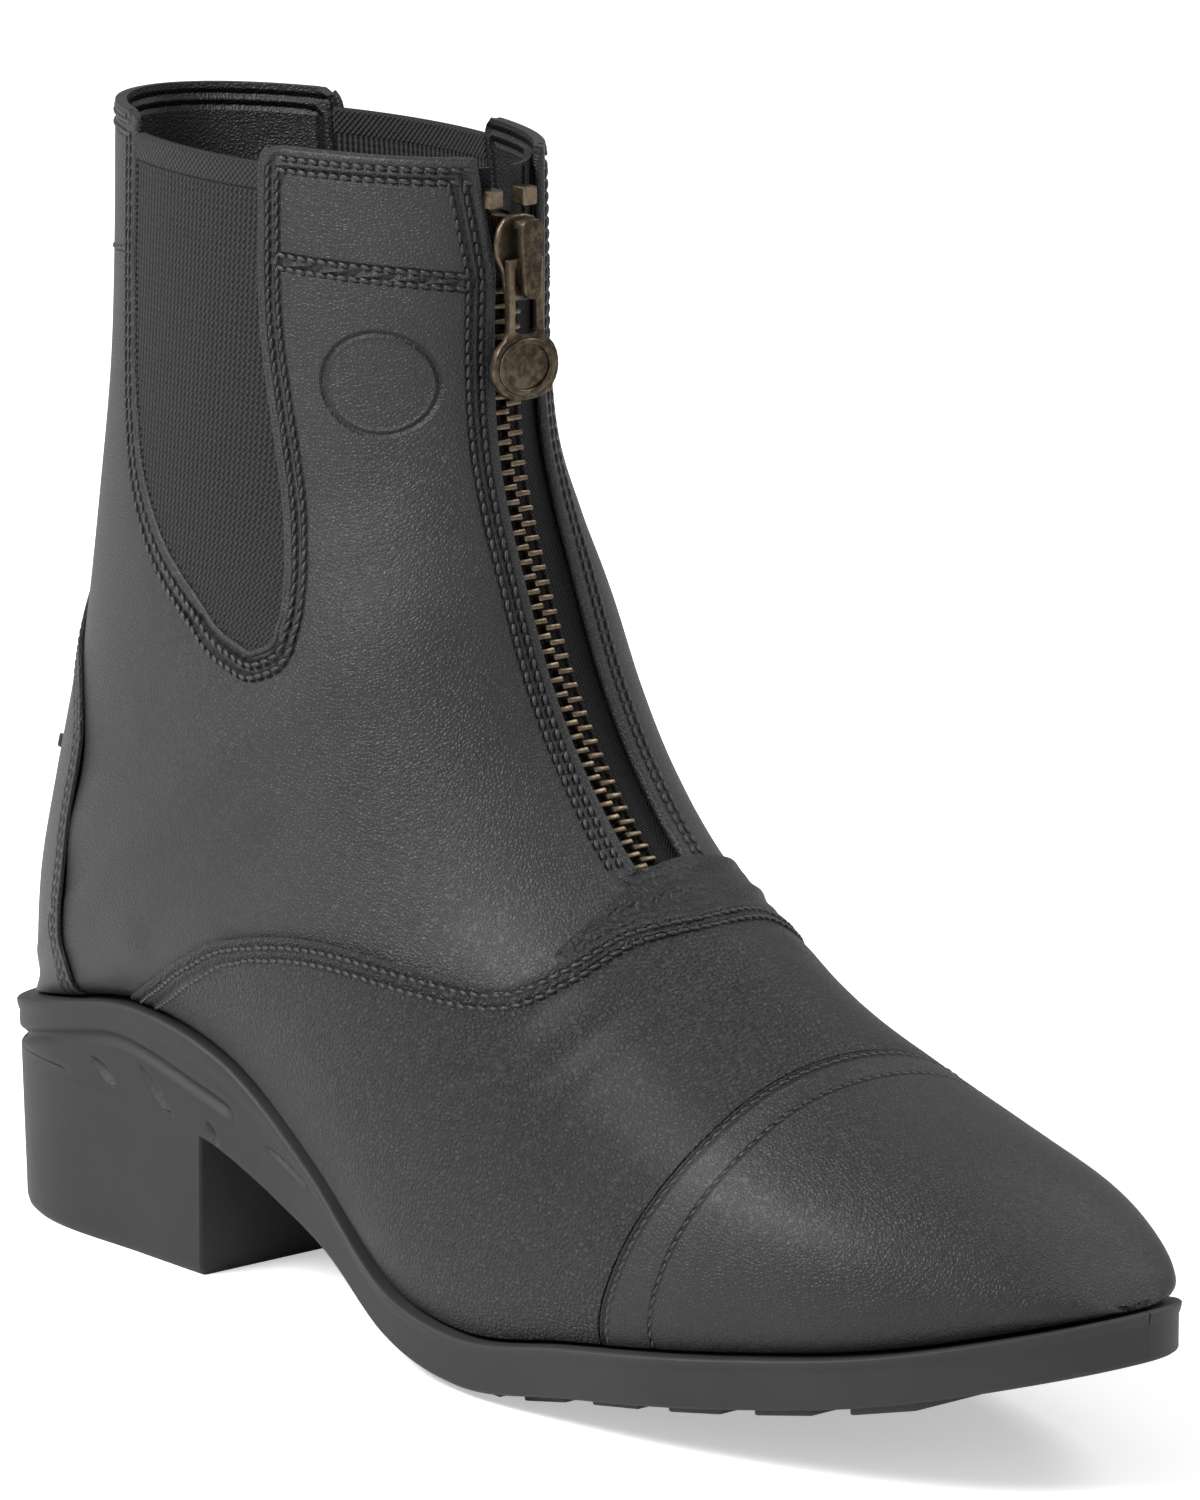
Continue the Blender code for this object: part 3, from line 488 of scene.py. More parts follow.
def node(tree, kind, settings=None, **inputs):
    """A node with its settings; an input is named, or is i0, i1, i2 by its place."""
    made = tree.nodes.new(kind)
    for key, value in (settings or {}).items():
        setattr(made, key, value)
    for key, value in inputs.items():
        by_place = key[0] == "i" and key[1:].isdigit()
        feed(tree, value, made.inputs[int(key[1:])] if by_place else made.inputs[key])
    return made


def maths(tree, operation, *values, clamp=False):
    made = tree.nodes.new("ShaderNodeMath")
    made.operation = operation
    made.use_clamp = clamp
    for number, value in enumerate(values):
        feed(tree, value, made.inputs[number])
    return made.outputs[0]


def span(tree, value, low, high, out_low=0.0, out_high=1.0):
    made = tree.nodes.new("ShaderNodeMapRange")
    made.interpolation_type = "SMOOTHSTEP"
    tree.links.new(value, made.inputs["Value"])
    for key, number in (("From Min", low), ("From Max", high), ("To Min", out_low), ("To Max", out_high)):
        made.inputs[key].default_value = number
    return made.outputs["Result"]


# %% Grain of leather: pebbles, pores and soft drift
grain, g_in, g_out = new_group(
    "leather_grain",
    [("Vector", "NodeSocketVector", None), ("Pebble", "NodeSocketFloat", 900.0),
     ("Depth", "NodeSocketFloat", 1.0)],
    [("Height", "NodeSocketFloat"), ("Drift", "NodeSocketFloat"), ("Pore", "NodeSocketFloat")])
bend = node(grain, "ShaderNodeTexNoise", Vector=g_in.outputs["Vector"], Scale=420.0, Detail=2.0)
bent = node(grain, "ShaderNodeVectorMath", {"operation": "MULTIPLY_ADD"}, i0=bend.outputs["Color"],
            i1=(0.0009, 0.0009, 0.0009), i2=g_in.outputs["Vector"])
pebble = node(grain, "ShaderNodeTexVoronoi", {"feature": "DISTANCE_TO_EDGE"}, Vector=bent.outputs[0],
              Scale=g_in.outputs["Pebble"])
crack = span(grain, pebble.outputs["Distance"], 0.0, 0.34)
fine = node(grain, "ShaderNodeTexNoise", Vector=g_in.outputs["Vector"], Scale=2600.0, Detail=4.0,
            Roughness=0.6)
slow = node(grain, "ShaderNodeTexNoise", Vector=g_in.outputs["Vector"], Scale=26.0, Detail=3.0,
            Roughness=0.55)
height = maths(grain, "MULTIPLY_ADD", fine.outputs["Fac"], 0.45, maths(grain, "MULTIPLY", crack, 0.55))
grain.links.new(maths(grain, "MULTIPLY", height, g_in.outputs["Depth"]), g_out.inputs["Height"])
grain.links.new(slow.outputs["Fac"], g_out.inputs["Drift"])
grain.links.new(maths(grain, "SUBTRACT", 1.0, crack), g_out.inputs["Pore"])

# %% Seam: the furrow that a row of stitches pulls into the leather; its mask sets both the dent and the painted shade in it
seam, s_in, s_out = new_group(
    "seam_furrow",
    [("Distance", "NodeSocketFloat", 0.0), ("First", "NodeSocketFloat", 0.0016),
     ("Second", "NodeSocketFloat", 0.0040), ("Width", "NodeSocketFloat", 0.0010)],
    [("Shade", "NodeSocketFloat")])
furrows = []
for row_name in ("First", "Second"):
    off = maths(seam, "ABSOLUTE", maths(seam, "SUBTRACT", s_in.outputs["Distance"], s_in.outputs[row_name]))
    near = maths(seam, "DIVIDE", off, s_in.outputs["Width"])
    furrows.append(span(seam, near, 0.0, 1.0, 1.0, 0.0))
seam.links.new(maths(seam, "MAXIMUM", *furrows), s_out.inputs["Shade"])

# %% Wear: pale rubbing where the surface turns sharply outwards, broken up by noise
wear, w_in, w_out = new_group(
    "edge_wear", [("Vector", "NodeSocketVector", None), ("Amount", "NodeSocketFloat", 0.5),
                  ("Scale", "NodeSocketFloat", 300.0)], [("Mask", "NodeSocketFloat")])
geometry = wear.nodes.new("ShaderNodeNewGeometry")
patch = node(wear, "ShaderNodeTexNoise", Vector=w_in.outputs["Vector"], Scale=w_in.outputs["Scale"],
             Detail=3.0)
sharp = span(wear, geometry.outputs["Pointiness"], 0.50, 0.62)
wear.links.new(maths(wear, "MULTIPLY", maths(wear, "MULTIPLY", sharp, patch.outputs["Fac"]),
                     w_in.outputs["Amount"], clamp=True), w_out.inputs["Mask"])


# %% Materials
def new_look(name, colour, roughness, metallic=0.0, **plain):
    look = bpy.data.materials.new(name)
    look.use_nodes = True
    shader = look.node_tree.nodes["Principled BSDF"]
    shader.inputs["Base Color"].default_value = tuple(colour) + (1.0,)
    shader.inputs["Roughness"].default_value = roughness
    shader.inputs["Metallic"].default_value = metallic
    for key, value in plain.items():
        shader.inputs[key.replace("_", " ")].default_value = value
    return look, look.node_tree, shader


def group_node(tree, group, **inputs):
    made = tree.nodes.new("ShaderNodeGroup")
    made.node_tree = group
    for key, value in inputs.items():
        feed(tree, value, made.inputs[key])
    return made


def two_tone(tree, factor, first, second):
    mix = tree.nodes.new("ShaderNodeMix")
    mix.data_type = "RGBA"
    feed(tree, factor, mix.inputs["Factor"])
    for label, value in (("A", first), ("B", second)):
        socket = [s for s in mix.inputs if s.name == label and s.type == "RGBA"][0]
        feed(tree, tuple(value) + (1.0,) if isinstance(value, tuple) else value, socket)
    return [s for s in mix.outputs if s.type == "RGBA"][0]


def bump(tree, shader, height, distance, under=None):
    made = node(tree, "ShaderNodeBump", Height=height, Distance=distance, Strength=1.0)
    if under is not None:
        tree.links.new(under, made.inputs["Normal"])
    tree.links.new(made.outputs["Normal"], shader.inputs["Normal"])
    return made.outputs["Normal"]


MARK_REACH = 0.004      # a mark's value is this on its line and falls to 0 by distance
NO_ROW = 0.5            # a distance that no stitch row has
FIRST_ROW, SECOND_ROW = 0.0018, 0.0039      # stitch rows, from the sewn edge
CAP_FURROW = 0.0010     # the toe cap's furrow, from its edge
FURROW_DEPTH = 0.0009


def leather(name, dark, pale, pebble, depth, roughness, rows=(FIRST_ROW, SECOND_ROW), pores=0.5):
    """Grained leather. It sinks at the stitch rows, at marked lines and at the oval, and painted shade
    darkens its colour there.
    """
    look, tree, shader = new_look(name, dark, roughness, Specular_IOR_Level=0.40, Coat_Roughness=0.32,
                                  Coat_Weight=0.05)
    where = tree.nodes.new("ShaderNodeTexCoord").outputs["Object"]
    skin = group_node(tree, grain, Vector=where, Pebble=pebble, Depth=1.0)
    tone = span(tree, skin.outputs["Drift"], 0.34, 0.68)
    colour = two_tone(tree, tone, dark, pale)
    colour = two_tone(tree, maths(tree, "MULTIPLY", skin.outputs["Pore"], pores), colour,
                      tuple(c * 0.35 for c in dark))
    rough = maths(tree, "MULTIPLY_ADD", skin.outputs["Drift"], 0.16, roughness - 0.08)
    if rows:
        reach = node(tree, "ShaderNodeAttribute", {"attribute_name": "edge"}).outputs["Fac"]
        furrow = group_node(tree, seam, Distance=reach, First=rows[0], Second=rows[1])
        mark = node(tree, "ShaderNodeAttribute", {"attribute_name": "mark"}).outputs["Fac"]
        groove = group_node(tree, seam, Distance=mark, First=MARK_REACH, Second=NO_ROW, Width=0.0008)
        painted_groove_shade = maths(tree, "MAXIMUM", furrow.outputs["Shade"], groove.outputs["Shade"])
        # Painted shade: the colour is darkened in the stitch furrows and along the marked stitch grooves
        colour = two_tone(tree, painted_groove_shade, colour, tuple(c * 0.06 for c in dark))
        inside = node(tree, "ShaderNodeAttribute", {"attribute_name": "oval"}).outputs["Fac"]
        line = group_node(tree, seam, Distance=inside, First=MARK_REACH, Second=NO_ROW, Width=0.0007)
        # Painted shade: the colour is darkened along the debossed oval's groove
        colour = two_tone(tree, line.outputs["Shade"], colour, tuple(c * 0.15 for c in dark))
        dent = maths(tree, "ADD", maths(tree, "ADD", painted_groove_shade, line.outputs["Shade"]),
                     span(tree, inside, MARK_REACH, MARK_REACH + 0.0012, 0.0, 0.5))
        first = bump(tree, shader, maths(tree, "MULTIPLY", dent, -1.0), FURROW_DEPTH)
        bump(tree, shader, skin.outputs["Height"], depth, under=first)
    else:
        bump(tree, shader, skin.outputs["Height"], depth)
    tree.links.new(colour, shader.inputs["Base Color"])
    tree.links.new(rough, shader.inputs["Roughness"])
    return look


QUARTER = leather("quarter_leather", (0.0135, 0.0138, 0.0143), (0.022, 0.0223, 0.023),
                  pebble=1500.0, depth=0.00018, roughness=0.52, pores=0.45)
CAP = leather("cap_leather", (0.0115, 0.0117, 0.0122), (0.0175, 0.0178, 0.0184),
              pebble=1500.0, depth=0.00018, roughness=0.53, rows=(CAP_FURROW, NO_ROW), pores=0.4)
VAMP = leather("vamp_leather", (0.0105, 0.0107, 0.0112), (0.0195, 0.0198, 0.0205),
               pebble=1100.0, depth=0.00055, roughness=0.52, pores=0.9)
FOLDED = leather("gusset_leather", (0.003, 0.003, 0.0033), (0.007, 0.0072, 0.0076),
                 pebble=700.0, depth=0.00060, roughness=0.52, rows=None, pores=0.9)
LINING = leather("lining", (0.050, 0.051, 0.053), (0.075, 0.076, 0.079),
                 pebble=1600.0, depth=0.00012, roughness=0.62, rows=None)


def woven(name, dark, pale, across, along, depth, roughness, use_map):
    """Cloth: one wave each way, crossed, along the piece's own map or in plain metres."""
    look, tree, shader = new_look(name, dark, roughness, Sheen_Weight=0.05, Sheen_Roughness=0.5,
                                  Specular_IOR_Level=0.25)
    if use_map:
        where = node(tree, "ShaderNodeUVMap", {"uv_map": "weave"}).outputs["UV"]
    else:
        where = tree.nodes.new("ShaderNodeTexCoord").outputs["Object"]
    parts = node(tree, "ShaderNodeSeparateXYZ", Vector=where)
    warp = maths(tree, "SINE", maths(tree, "MULTIPLY", parts.outputs["X"], 2 * pi / across))
    weft = maths(tree, "SINE", maths(tree, "MULTIPLY", parts.outputs["Y"], 2 * pi / along))
    cross = maths(tree, "MULTIPLY_ADD", maths(tree, "MULTIPLY", warp, weft), 0.5, 0.5)
    fuzz = node(tree, "ShaderNodeTexNoise", Vector=tree.nodes.new("ShaderNodeTexCoord").outputs["Object"],
                Scale=2400.0, Detail=2.0)
    height = maths(tree, "MULTIPLY_ADD", fuzz.outputs["Fac"], 0.35, maths(tree, "MULTIPLY", cross, 0.65))
    tree.links.new(two_tone(tree, cross, dark, pale), shader.inputs["Base Color"])
    bump(tree, shader, height, depth)
    return look


RIB = 0.00118           # height of one rib of the elastic
ELASTIC_LOOK = woven("gore_elastic", (0.0012, 0.0012, 0.0014), (0.026, 0.0263, 0.0275),
                     across=0.0012, along=RIB, depth=0.00070, roughness=0.8, use_map=True)
TAPE_LOOK = woven("zip_tape", (0.0015, 0.0013, 0.0017), (0.009, 0.0080, 0.0096),
                  across=0.0009, along=0.0009, depth=0.00040, roughness=0.85, use_map=True)
BED_LOOK = woven("foot_bed", (0.010, 0.010, 0.011), (0.022, 0.022, 0.024),
                 across=0.0012, along=0.0012, depth=0.00015, roughness=0.9, use_map=False)

# %% Rubber, thread and brass
RUBBER, tree, shader = new_look("moulded_rubber", (0.026, 0.027, 0.028), 0.6, Specular_IOR_Level=0.34)
where = tree.nodes.new("ShaderNodeTexCoord").outputs["Object"]
skin = group_node(tree, grain, Vector=where, Pebble=2600.0, Depth=1.0)
dusty = span(tree, skin.outputs["Drift"], 0.40, 0.75)
rubbed = group_node(tree, wear, Vector=where, Amount=0.5, Scale=220.0)
colour = two_tone(tree, dusty, (0.017, 0.0173, 0.018), (0.024, 0.0245, 0.0255))
tree.links.new(two_tone(tree, rubbed.outputs["Mask"], colour, (0.06, 0.06, 0.064)),
               shader.inputs["Base Color"])
tree.links.new(maths(tree, "MULTIPLY_ADD", skin.outputs["Drift"], 0.2, 0.48), shader.inputs["Roughness"])
bump(tree, shader, skin.outputs["Height"], 0.00004)

THREAD, tree, shader = new_look("waxed_thread", (0.012, 0.012, 0.013), 0.5, Sheen_Weight=0.1)
where = tree.nodes.new("ShaderNodeTexCoord").outputs["Object"]
twist = node(tree, "ShaderNodeTexNoise", Vector=where, Scale=3200.0, Detail=2.0)
tree.links.new(two_tone(tree, span(tree, twist.outputs["Fac"], 0.35, 0.65), (0.003, 0.003, 0.0035),
                        (0.020, 0.020, 0.022)), shader.inputs["Base Color"])
bump(tree, shader, twist.outputs["Fac"], 0.0001)

BRASS, tree, shader = new_look("antique_brass", (0.09, 0.07, 0.052), 0.34, 1.0)
where = tree.nodes.new("ShaderNodeTexCoord").outputs["Object"]
tarnish = node(tree, "ShaderNodeTexNoise", Vector=where, Scale=700.0, Detail=5.0, Roughness=0.65)
stain = span(tree, tarnish.outputs["Fac"], 0.38, 0.66)
rubbed = group_node(tree, wear, Vector=where, Amount=0.8, Scale=900.0)
colour = two_tone(tree, stain, (0.030, 0.023, 0.016), (0.095, 0.073, 0.052))
tree.links.new(two_tone(tree, rubbed.outputs["Mask"], colour, (0.40, 0.31, 0.21)),
               shader.inputs["Base Color"])
tree.links.new(maths(tree, "MULTIPLY_ADD", stain, -0.12, 0.46), shader.inputs["Roughness"])
bump(tree, shader, tarnish.outputs["Fac"], 0.00004)
print("materials", [m.name for m in bpy.data.materials])

# %% [markdown]
# ## Creases
# A boot bends over the ball and at the ankle, and the leather keeps soft troughs there.
# Each crease is one line of a table: a place, a run, a width and a depth. The function
# adds them up, and every lasted sheet that asks for it takes the same relief.

# %% Creases as places on the last
#           from row, spread   to row, spread    width    depth
CREASES = [((9.55, -0.36), (9.10, -0.62), 0.0050, -0.00055),
           ((10.4, -0.30), (9.75, -0.66), 0.0060, -0.00050),
           ((11.3, -0.34), (10.6, -0.72), 0.0075, -0.00060),
           ((12.1, -0.40), (11.6, -0.80), 0.0070, -0.00050),
           ((11.7, -0.52), (11.1, -0.86), 0.0050, 0.00045),
           ((10.9, -0.42), (10.2, -0.74), 0.0050, 0.00040),
           ((9.55, 0.36), (9.10, 0.62), 0.0050, -0.00055),
           ((10.4, 0.30), (9.75, 0.66), 0.0060, -0.00050),
           ((11.3, 0.34), (10.6, 0.72), 0.0075, -0.00060),
           ((12.1, 0.40), (11.6, 0.80), 0.0070, -0.00050),
           ((7.15, -0.02), (6.80, -0.36), 0.0026, -0.00030),
           ((6.75, 0.10), (6.45, -0.28), 0.0028, -0.00028),
           ((6.35, 0.04), (6.10, -0.34), 0.0030, -0.00022),
           ((7.15, 0.04), (6.85, 0.34), 0.0026, -0.00028)]


def crease_relief(row, spread, points):
    total = np.zeros(len(points))
    for start, end, width, depth in CREASES:
        t = np.linspace(0, 1, 9)
        line = last(start[0] + (end[0] - start[0]) * t, start[1] + (end[1] - start[1]) * t)
        away = distance_to(points, line) / width
        total += depth * np.exp(-away ** 2)
    return total


# %% [markdown]
# ## Quarters
# The quarters, the back panel and the lining make one shell with an opening for the zip
# and a U on each side for the elastic. Cutting the U by hand on a grid would fight with
# its curve, so the shell is lasted whole and a Boolean punches the three openings, just
# as a clicking press does.

# %% The side view of the gore's cut-out
CORNER = 0.0038             # round top corners of the panels beside the gore


def gore_ring(inset, top, steps=140):
    foot = GORE[0][0]
    heights = foot + (top - foot) * (np.arange(steps + 1) / steps) ** 1.4
    above = np.clip(BOOT_HEIGHT * (heights - 1) + CORNER, 0.0, CORNER)
    flare = CORNER - np.sqrt(CORNER ** 2 - above ** 2)
    z = BOOT_HEIGHT * heights + inset
    back = np.stack([SOLE_LENGTH * smooth(GORE, 1, heights) + inset - flare, z], axis=1)
    front = np.stack([SOLE_LENGTH * smooth(GORE, 2, heights) - inset + flare, z], axis=1)
    return np.concatenate([back, front[::-1]])


def punch(name, ring, near, far):
    """A prism through the side of the boot, made from a filled ring and an extrude."""
    tool = from_lists(name, [place(ring[:, 0], near, ring[:, 1])], [tuple(range(len(ring)))])
    move = {"value": (0, far - near, 0)}
    edit_all(tool, lambda: bpy.ops.mesh.extrude_region_move(TRANSFORM_OT_translate=move), normals_out)
    return tool


def slot_near(row):
    """The near edge of the zip's opening, which spreads over the last rows below the collar."""
    return -SLOT_SIDE * (1 + SLOT_SPREAD * np.maximum(0.0, row - COLLAR_ROW + 1.2))


def zip_cutter():
    """A bar along the zip line, as wide as the opening between the two quarters."""
    steps, through = 61, 0.012
    rows = np.linspace(ZIP_FOOT, COLLAR_ROW, steps)
    points = []
    for reach in (-through, through):
        for edge in (slot_near(rows), np.full(steps, SLOT_FAR)):
            x, z = crown_point(rows, np.full(steps, reach))
            z = z + np.where(rows > COLLAR_ROW - 0.01, through, 0.0)
            points.append(place(x, edge, z))
    corners = (0, steps, 3 * steps, 2 * steps)
    faces = []
    for i in range(steps - 1):
        for first, second in zip(corners, corners[1:] + corners[:1]):
            faces.append((first + i, second + i, second + i + 1, first + i + 1))
    faces.append(tuple(corners[k] for k in (0, 3, 2, 1)))
    faces.append(tuple(corners[k] + steps - 1 for k in (0, 1, 2, 3)))
    tool = from_lists("zip_cutter", points, faces)
    edit_all(tool, normals_out)
    return tool


def cut_away(piece, tool):
    modify(piece, "BOOLEAN", object=tool, operation="DIFFERENCE", solver="EXACT")
    bpy.data.objects.remove(tool, do_unlink=True)


# %% Seam lines of the quarters, each as rows and shares on the last
OVAL_ROW, OVAL_SPREAD, OVAL_WIDE, OVAL_TALL = 13.9, -0.219, 0.0104, 0.0086
CROSS_HIGH, CROSS_LOW, BACK_SEAM_ROW = 15.15, 14.75, 15.25


def gore_line(side):
    """The gore's edge: up its back, then down its front."""
    ring = gore_ring(0.0, 0.995)
    row, share = from_side(ring[:, 0], ring[:, 1])
    return row, side * share


gore_rows, gore_shares = gore_line(1)
middle = len(gore_rows) // 2


def round_the_foot(inset, top):
    """The gore's edge again, but down its back, round its foot and up its front."""
    ring = gore_ring(inset, top)
    half = len(ring) // 2
    line = np.concatenate([ring[:half][::-1], ring[half:][::-1]])
    return from_side(line[:, 0], line[:, 1])


def beside_gore(row, back):
    """Share on the gore's back or front edge at a row, moved on to its second stitch row."""
    edge = slice(None, middle) if back else slice(None, middle - 1, -1)
    share = float(np.interp(row, gore_rows[edge], gore_shares[edge]))
    metres = np.linalg.norm(last(row, share) - last(row, share - 0.01)) / 0.01
    return share + (1 if back else -1) * SECOND_ROW / metres


def cross_seam(side):
    """The seam across the front quarter under its top panel."""
    t = np.linspace(0, 1, 40)
    slot = float(slot_near(CROSS_LOW)) if side < 0 else SLOT_FAR
    start = beside_gore(CROSS_HIGH, False)
    end = abs(float(spread_at(np.array([CROSS_LOW]), np.array([slot + side * SECOND_ROW]))[0]))
    return CROSS_HIGH + (CROSS_LOW - CROSS_HIGH) * t, side * (start + (end - start) * t)


def back_seam(side):
    """The seam round the back panel under its top piece."""
    return np.full(40, BACK_SEAM_ROW), side * np.linspace(beside_gore(BACK_SEAM_ROW, True), 1.0, 40)


GORE_EDGE = {side: last(*gore_line(side)) for side, word in SIDES}
CROSS = {side: last(*cross_seam(side)) for side, word in SIDES}
BACK = {side: last(*back_seam(side)) for side, word in SIDES}
CROSS_OFF = 0.0011          # half the distance between the cross seam's two rows


def quarter_edges(points):
    """Distance to the nearest sewn edge of the quarters."""
    zip_rows = np.linspace(ZIP_FOOT, COLLAR_ROW, 60)
    near = last(zip_rows, spread_at(zip_rows, slot_near(zip_rows)))
    far = last(zip_rows, spread_at(zip_rows, np.full(60, SLOT_FAR)))
    best = BOOT_HEIGHT - points[:, 2]
    for line in (near, far, GORE_EDGE[-1], GORE_EDGE[1]):
        best = np.minimum(best, distance_to(points, line))
    return best


def nearest(points, lines):
    """Distance to the nearer one of a left and a right line."""
    return np.minimum(distance_to(points, lines[-1]), distance_to(points, lines[1]))


def oval_value(points):
    """How far inside the debossed oval on the lateral side, from its outer reach."""
    centre = last(OVAL_ROW, OVAL_SPREAD)
    beside = last(OVAL_ROW, OVAL_SPREAD - 0.01) - centre
    beside[..., 2] = 0.0
    beside /= np.linalg.norm(beside)
    away = points - centre
    radius = np.hypot((away @ beside) / OVAL_WIDE, away[:, 2] / OVAL_TALL)
    value = np.maximum(MARK_REACH - (radius - 1) * OVAL_TALL, 0.0)
    return np.where(np.linalg.norm(away, axis=1) < 0.03, value, 0.0)


def quarter_relief(row, spread, points):
    """Creases and the soft pull of the seams."""
    edge = quarter_edges(points)
    pull = -0.00022 * np.exp(-((edge - 0.0028) / 0.0016) ** 2)
    pull -= 0.00015 * np.exp(-(nearest(points, CROSS) / 0.0018) ** 2)
    return crease_relief(row, spread, points) + pull


# %% Last the shell, give it its wall and punch the openings
SHELL_ROWS = np.concatenate([np.linspace(0.25, 1, 13)[:-1], np.linspace(1, 7, 31)[:-1],
                             np.linspace(7, COLLAR_ROW, 121)])
SHELL_SHARES = np.concatenate([np.linspace(0, 0.3, 19)[:-1], np.linspace(0.3, 1, 43)])
SHELL_SPREADS = np.concatenate([-SHELL_SHARES[::-1], SHELL_SHARES[1:]])


def shell_place(u, v):
    row = np.interp(v * (len(SHELL_ROWS) - 1), np.arange(len(SHELL_ROWS)), SHELL_ROWS)
    spread = np.interp(u * (len(SHELL_SPREADS) - 1), np.arange(len(SHELL_SPREADS)), SHELL_SPREADS)
    return row, spread


PUNCH_FROM = 0.007          # the punch starts this far beside the middle of the boot
PUNCH_TOP = 1.03            # and runs out above the collar
quarters = drape("quarters", len(SHELL_SPREADS) - 1, len(SHELL_ROWS) - 1, shell_place, 0.0, quarter_relief)
merge(quarters, SAME_PLACE)
thicken(quarters, WALL, material_offset=1)
cut_away(quarters, zip_cutter())
for side, word in SIDES:
    ring = gore_ring(0.0, PUNCH_TOP)
    cut_away(quarters, punch("gore_punch", ring, side * PUNCH_FROM, side * BALL_WIDTH))
shell = points_of(quarters)
write_value(quarters, "edge", quarter_edges(shell))
write_value(quarters, "mark", np.maximum(MARK_REACH + CROSS_OFF - nearest(shell, CROSS),
                                         np.maximum(MARK_REACH - nearest(shell, BACK), 0.0)))
write_value(quarters, "oval", oval_value(shell))
materials_kept = [poly.material_index for poly in quarters.data.polygons]
dress(quarters, [QUARTER, LINING], slot="leather", stands_for=("upper",))
quarters.data.polygons.foreach_set("material_index", [min(i, 1) for i in materials_kept])
soft_shade(quarters)

# %% [markdown]
# ## Overlays
# The toe cap, the vamp, the counter and the gusset are separate leathers sewn on top.
# Each is its own grid whose edges are the seam lines themselves, so the panel's outline
# is smooth without any cutting, and its thickness shows as a real step.

# %% Lay each overlay between its two edge lines
def cap_row(spread):
    return smooth(CAP_EDGE, 1, np.abs(spread))


def vamp_row(spread):
    return smooth(VAMP_EDGE, 1, np.abs(spread))


def shift(row, spread, distance):
    """Move a line sideways on the last by a distance in metres."""
    step = 1e-3
    up = np.where(row + step > COLLAR_ROW, row, row + step)
    down = np.where(row + step > COLLAR_ROW, row - step, row)
    here = last(row, spread)
    by_row = (last(up, spread) - last(down, spread)) / step
    by_spread = (last(row, spread + step) - last(row, spread - step)) / (2 * step)
    along = np.gradient(here, axis=0)
    beside = np.cross(np.cross(by_row, by_spread), along)
    beside *= distance / np.maximum(np.linalg.norm(beside, axis=1, keepdims=True), 1e-12)
    a, b, c = (np.sum(first * second, axis=1) for first, second in
               ((by_row, by_row), (by_row, by_spread), (by_spread, by_spread)))
    r, s = np.sum(by_row * beside, axis=1), np.sum(by_spread * beside, axis=1)
    det = np.maximum(a * c - b * b, 1e-12)
    return row + (r * c - b * s) / det, spread + (a * s - b * r) / det


SNUG = 0.0003               # how near an overlay lies to the leather under it
COVER = 0.0010              # its thickness
CUT_EDGE = 0.00035          # how far its cut edge is rounded


def panel(name, columns, rows, to_last, thick, look, edge_lines, stands_for, relief, marks=None):
    """One overlay: a sheet between its seam lines, laid on the shell and given its thickness."""
    piece = drape(name, columns, rows, to_last, SNUG + thick, relief)
    if marks is not None:
        write_value(piece, "mark", np.maximum(MARK_REACH - distance_to(points_of(piece), marks), 0.0))
    write_edge(piece, edge_lines)
    merge(piece, SAME_PLACE)
    thicken(piece, thick)
    round_edges(piece, CUT_EDGE)
    dress(piece, look, slot="leather", stands_for=stands_for)
    soft_shade(piece, 50)


ACROSS = np.linspace(-1, 1, 121)
CAP_SEAM = last(cap_row(ACROSS), ACROSS, SNUG + COVER)
VAMP_TOP = last(vamp_row(ACROSS), ACROSS, SNUG + COVER)
SECOND_CAP_ROWS = 0.37      # rows from the cap's edge to its second line
TOE_SEAM = last(cap_row(ACROSS) - SECOND_CAP_ROWS, ACROSS, SNUG + COVER)


def overlay_relief(row, spread, points):
    toe_seam = distance_to(points, last(cap_row(ACROSS) - SECOND_CAP_ROWS, ACROSS))
    cap_edge = distance_to(points, last(cap_row(ACROSS), ACROSS))
    pull = -0.00014 * np.exp(-(toe_seam / 0.0009) ** 2)
    pull = pull - 0.00008 * np.exp(-((cap_edge - CAP_FURROW) / 0.0010) ** 2)
    return crease_relief(row, spread, points) + pull


def cap_place(u, v):
    spread = 2 * u - 1
    return v ** 0.9 * cap_row(spread), spread


def vamp_place(u, v):
    spread = 2 * u - 1
    low = cap_row(spread) + SEAM_ROWS * 0.4
    return low + v * (vamp_row(spread) - low), spread


panel("toe_cap_leather", 150, 60, cap_place, COVER, CAP, [CAP_SEAM], ("toe_cap",), overlay_relief,
      marks=TOE_SEAM)
panel("vamp_leather_panel", 170, 90, vamp_place, COVER, VAMP, [VAMP_TOP], ("vamp",), overlay_relief)


# %% The counter, which runs round the heel and up the back seam in one piece
COUNTER_FOOT, COUNTER_TOP = COUNTER_EDGE[0][0], COUNTER_EDGE[-1][0]
THIN, CLOSE = 0.0007, 0.0002    # the counter's skived leather and how near it lies


def counter_arm(side, rows):
    return rows, side * smooth(COUNTER_EDGE, 1, rows)


def counter_half(side):
    def counter_place(u, v):
        row = COUNTER_FOOT + (COUNTER_TOP - COUNTER_FOOT) * v
        edge = smooth(COUNTER_EDGE, 1, row)
        return row, side * (edge + u * (1 - edge))
    half = drape("counter_%d" % (side + 2), 30, 130, counter_place, CLOSE + THIN)
    arm = counter_arm(side, np.linspace(COUNTER_FOOT, COUNTER_TOP, 100))
    write_edge(half, [last(*arm, CLOSE + THIN)])
    return half


counter = join_halves([counter_half(side) for side, word in SIDES], "counter_leather")
thicken(counter, THIN)
round_edges(counter, 0.0003)
dress(counter, QUARTER, slot="leather", stands_for=("counter",))
soft_shade(counter, 50)


# %% The gusset: thin leather that folds at the foot of the zip
GUSSET_FROM, GUSSET_TO, TUCKED_ROWS = GUSSET_EDGE[0][0], 0.37, 0.12


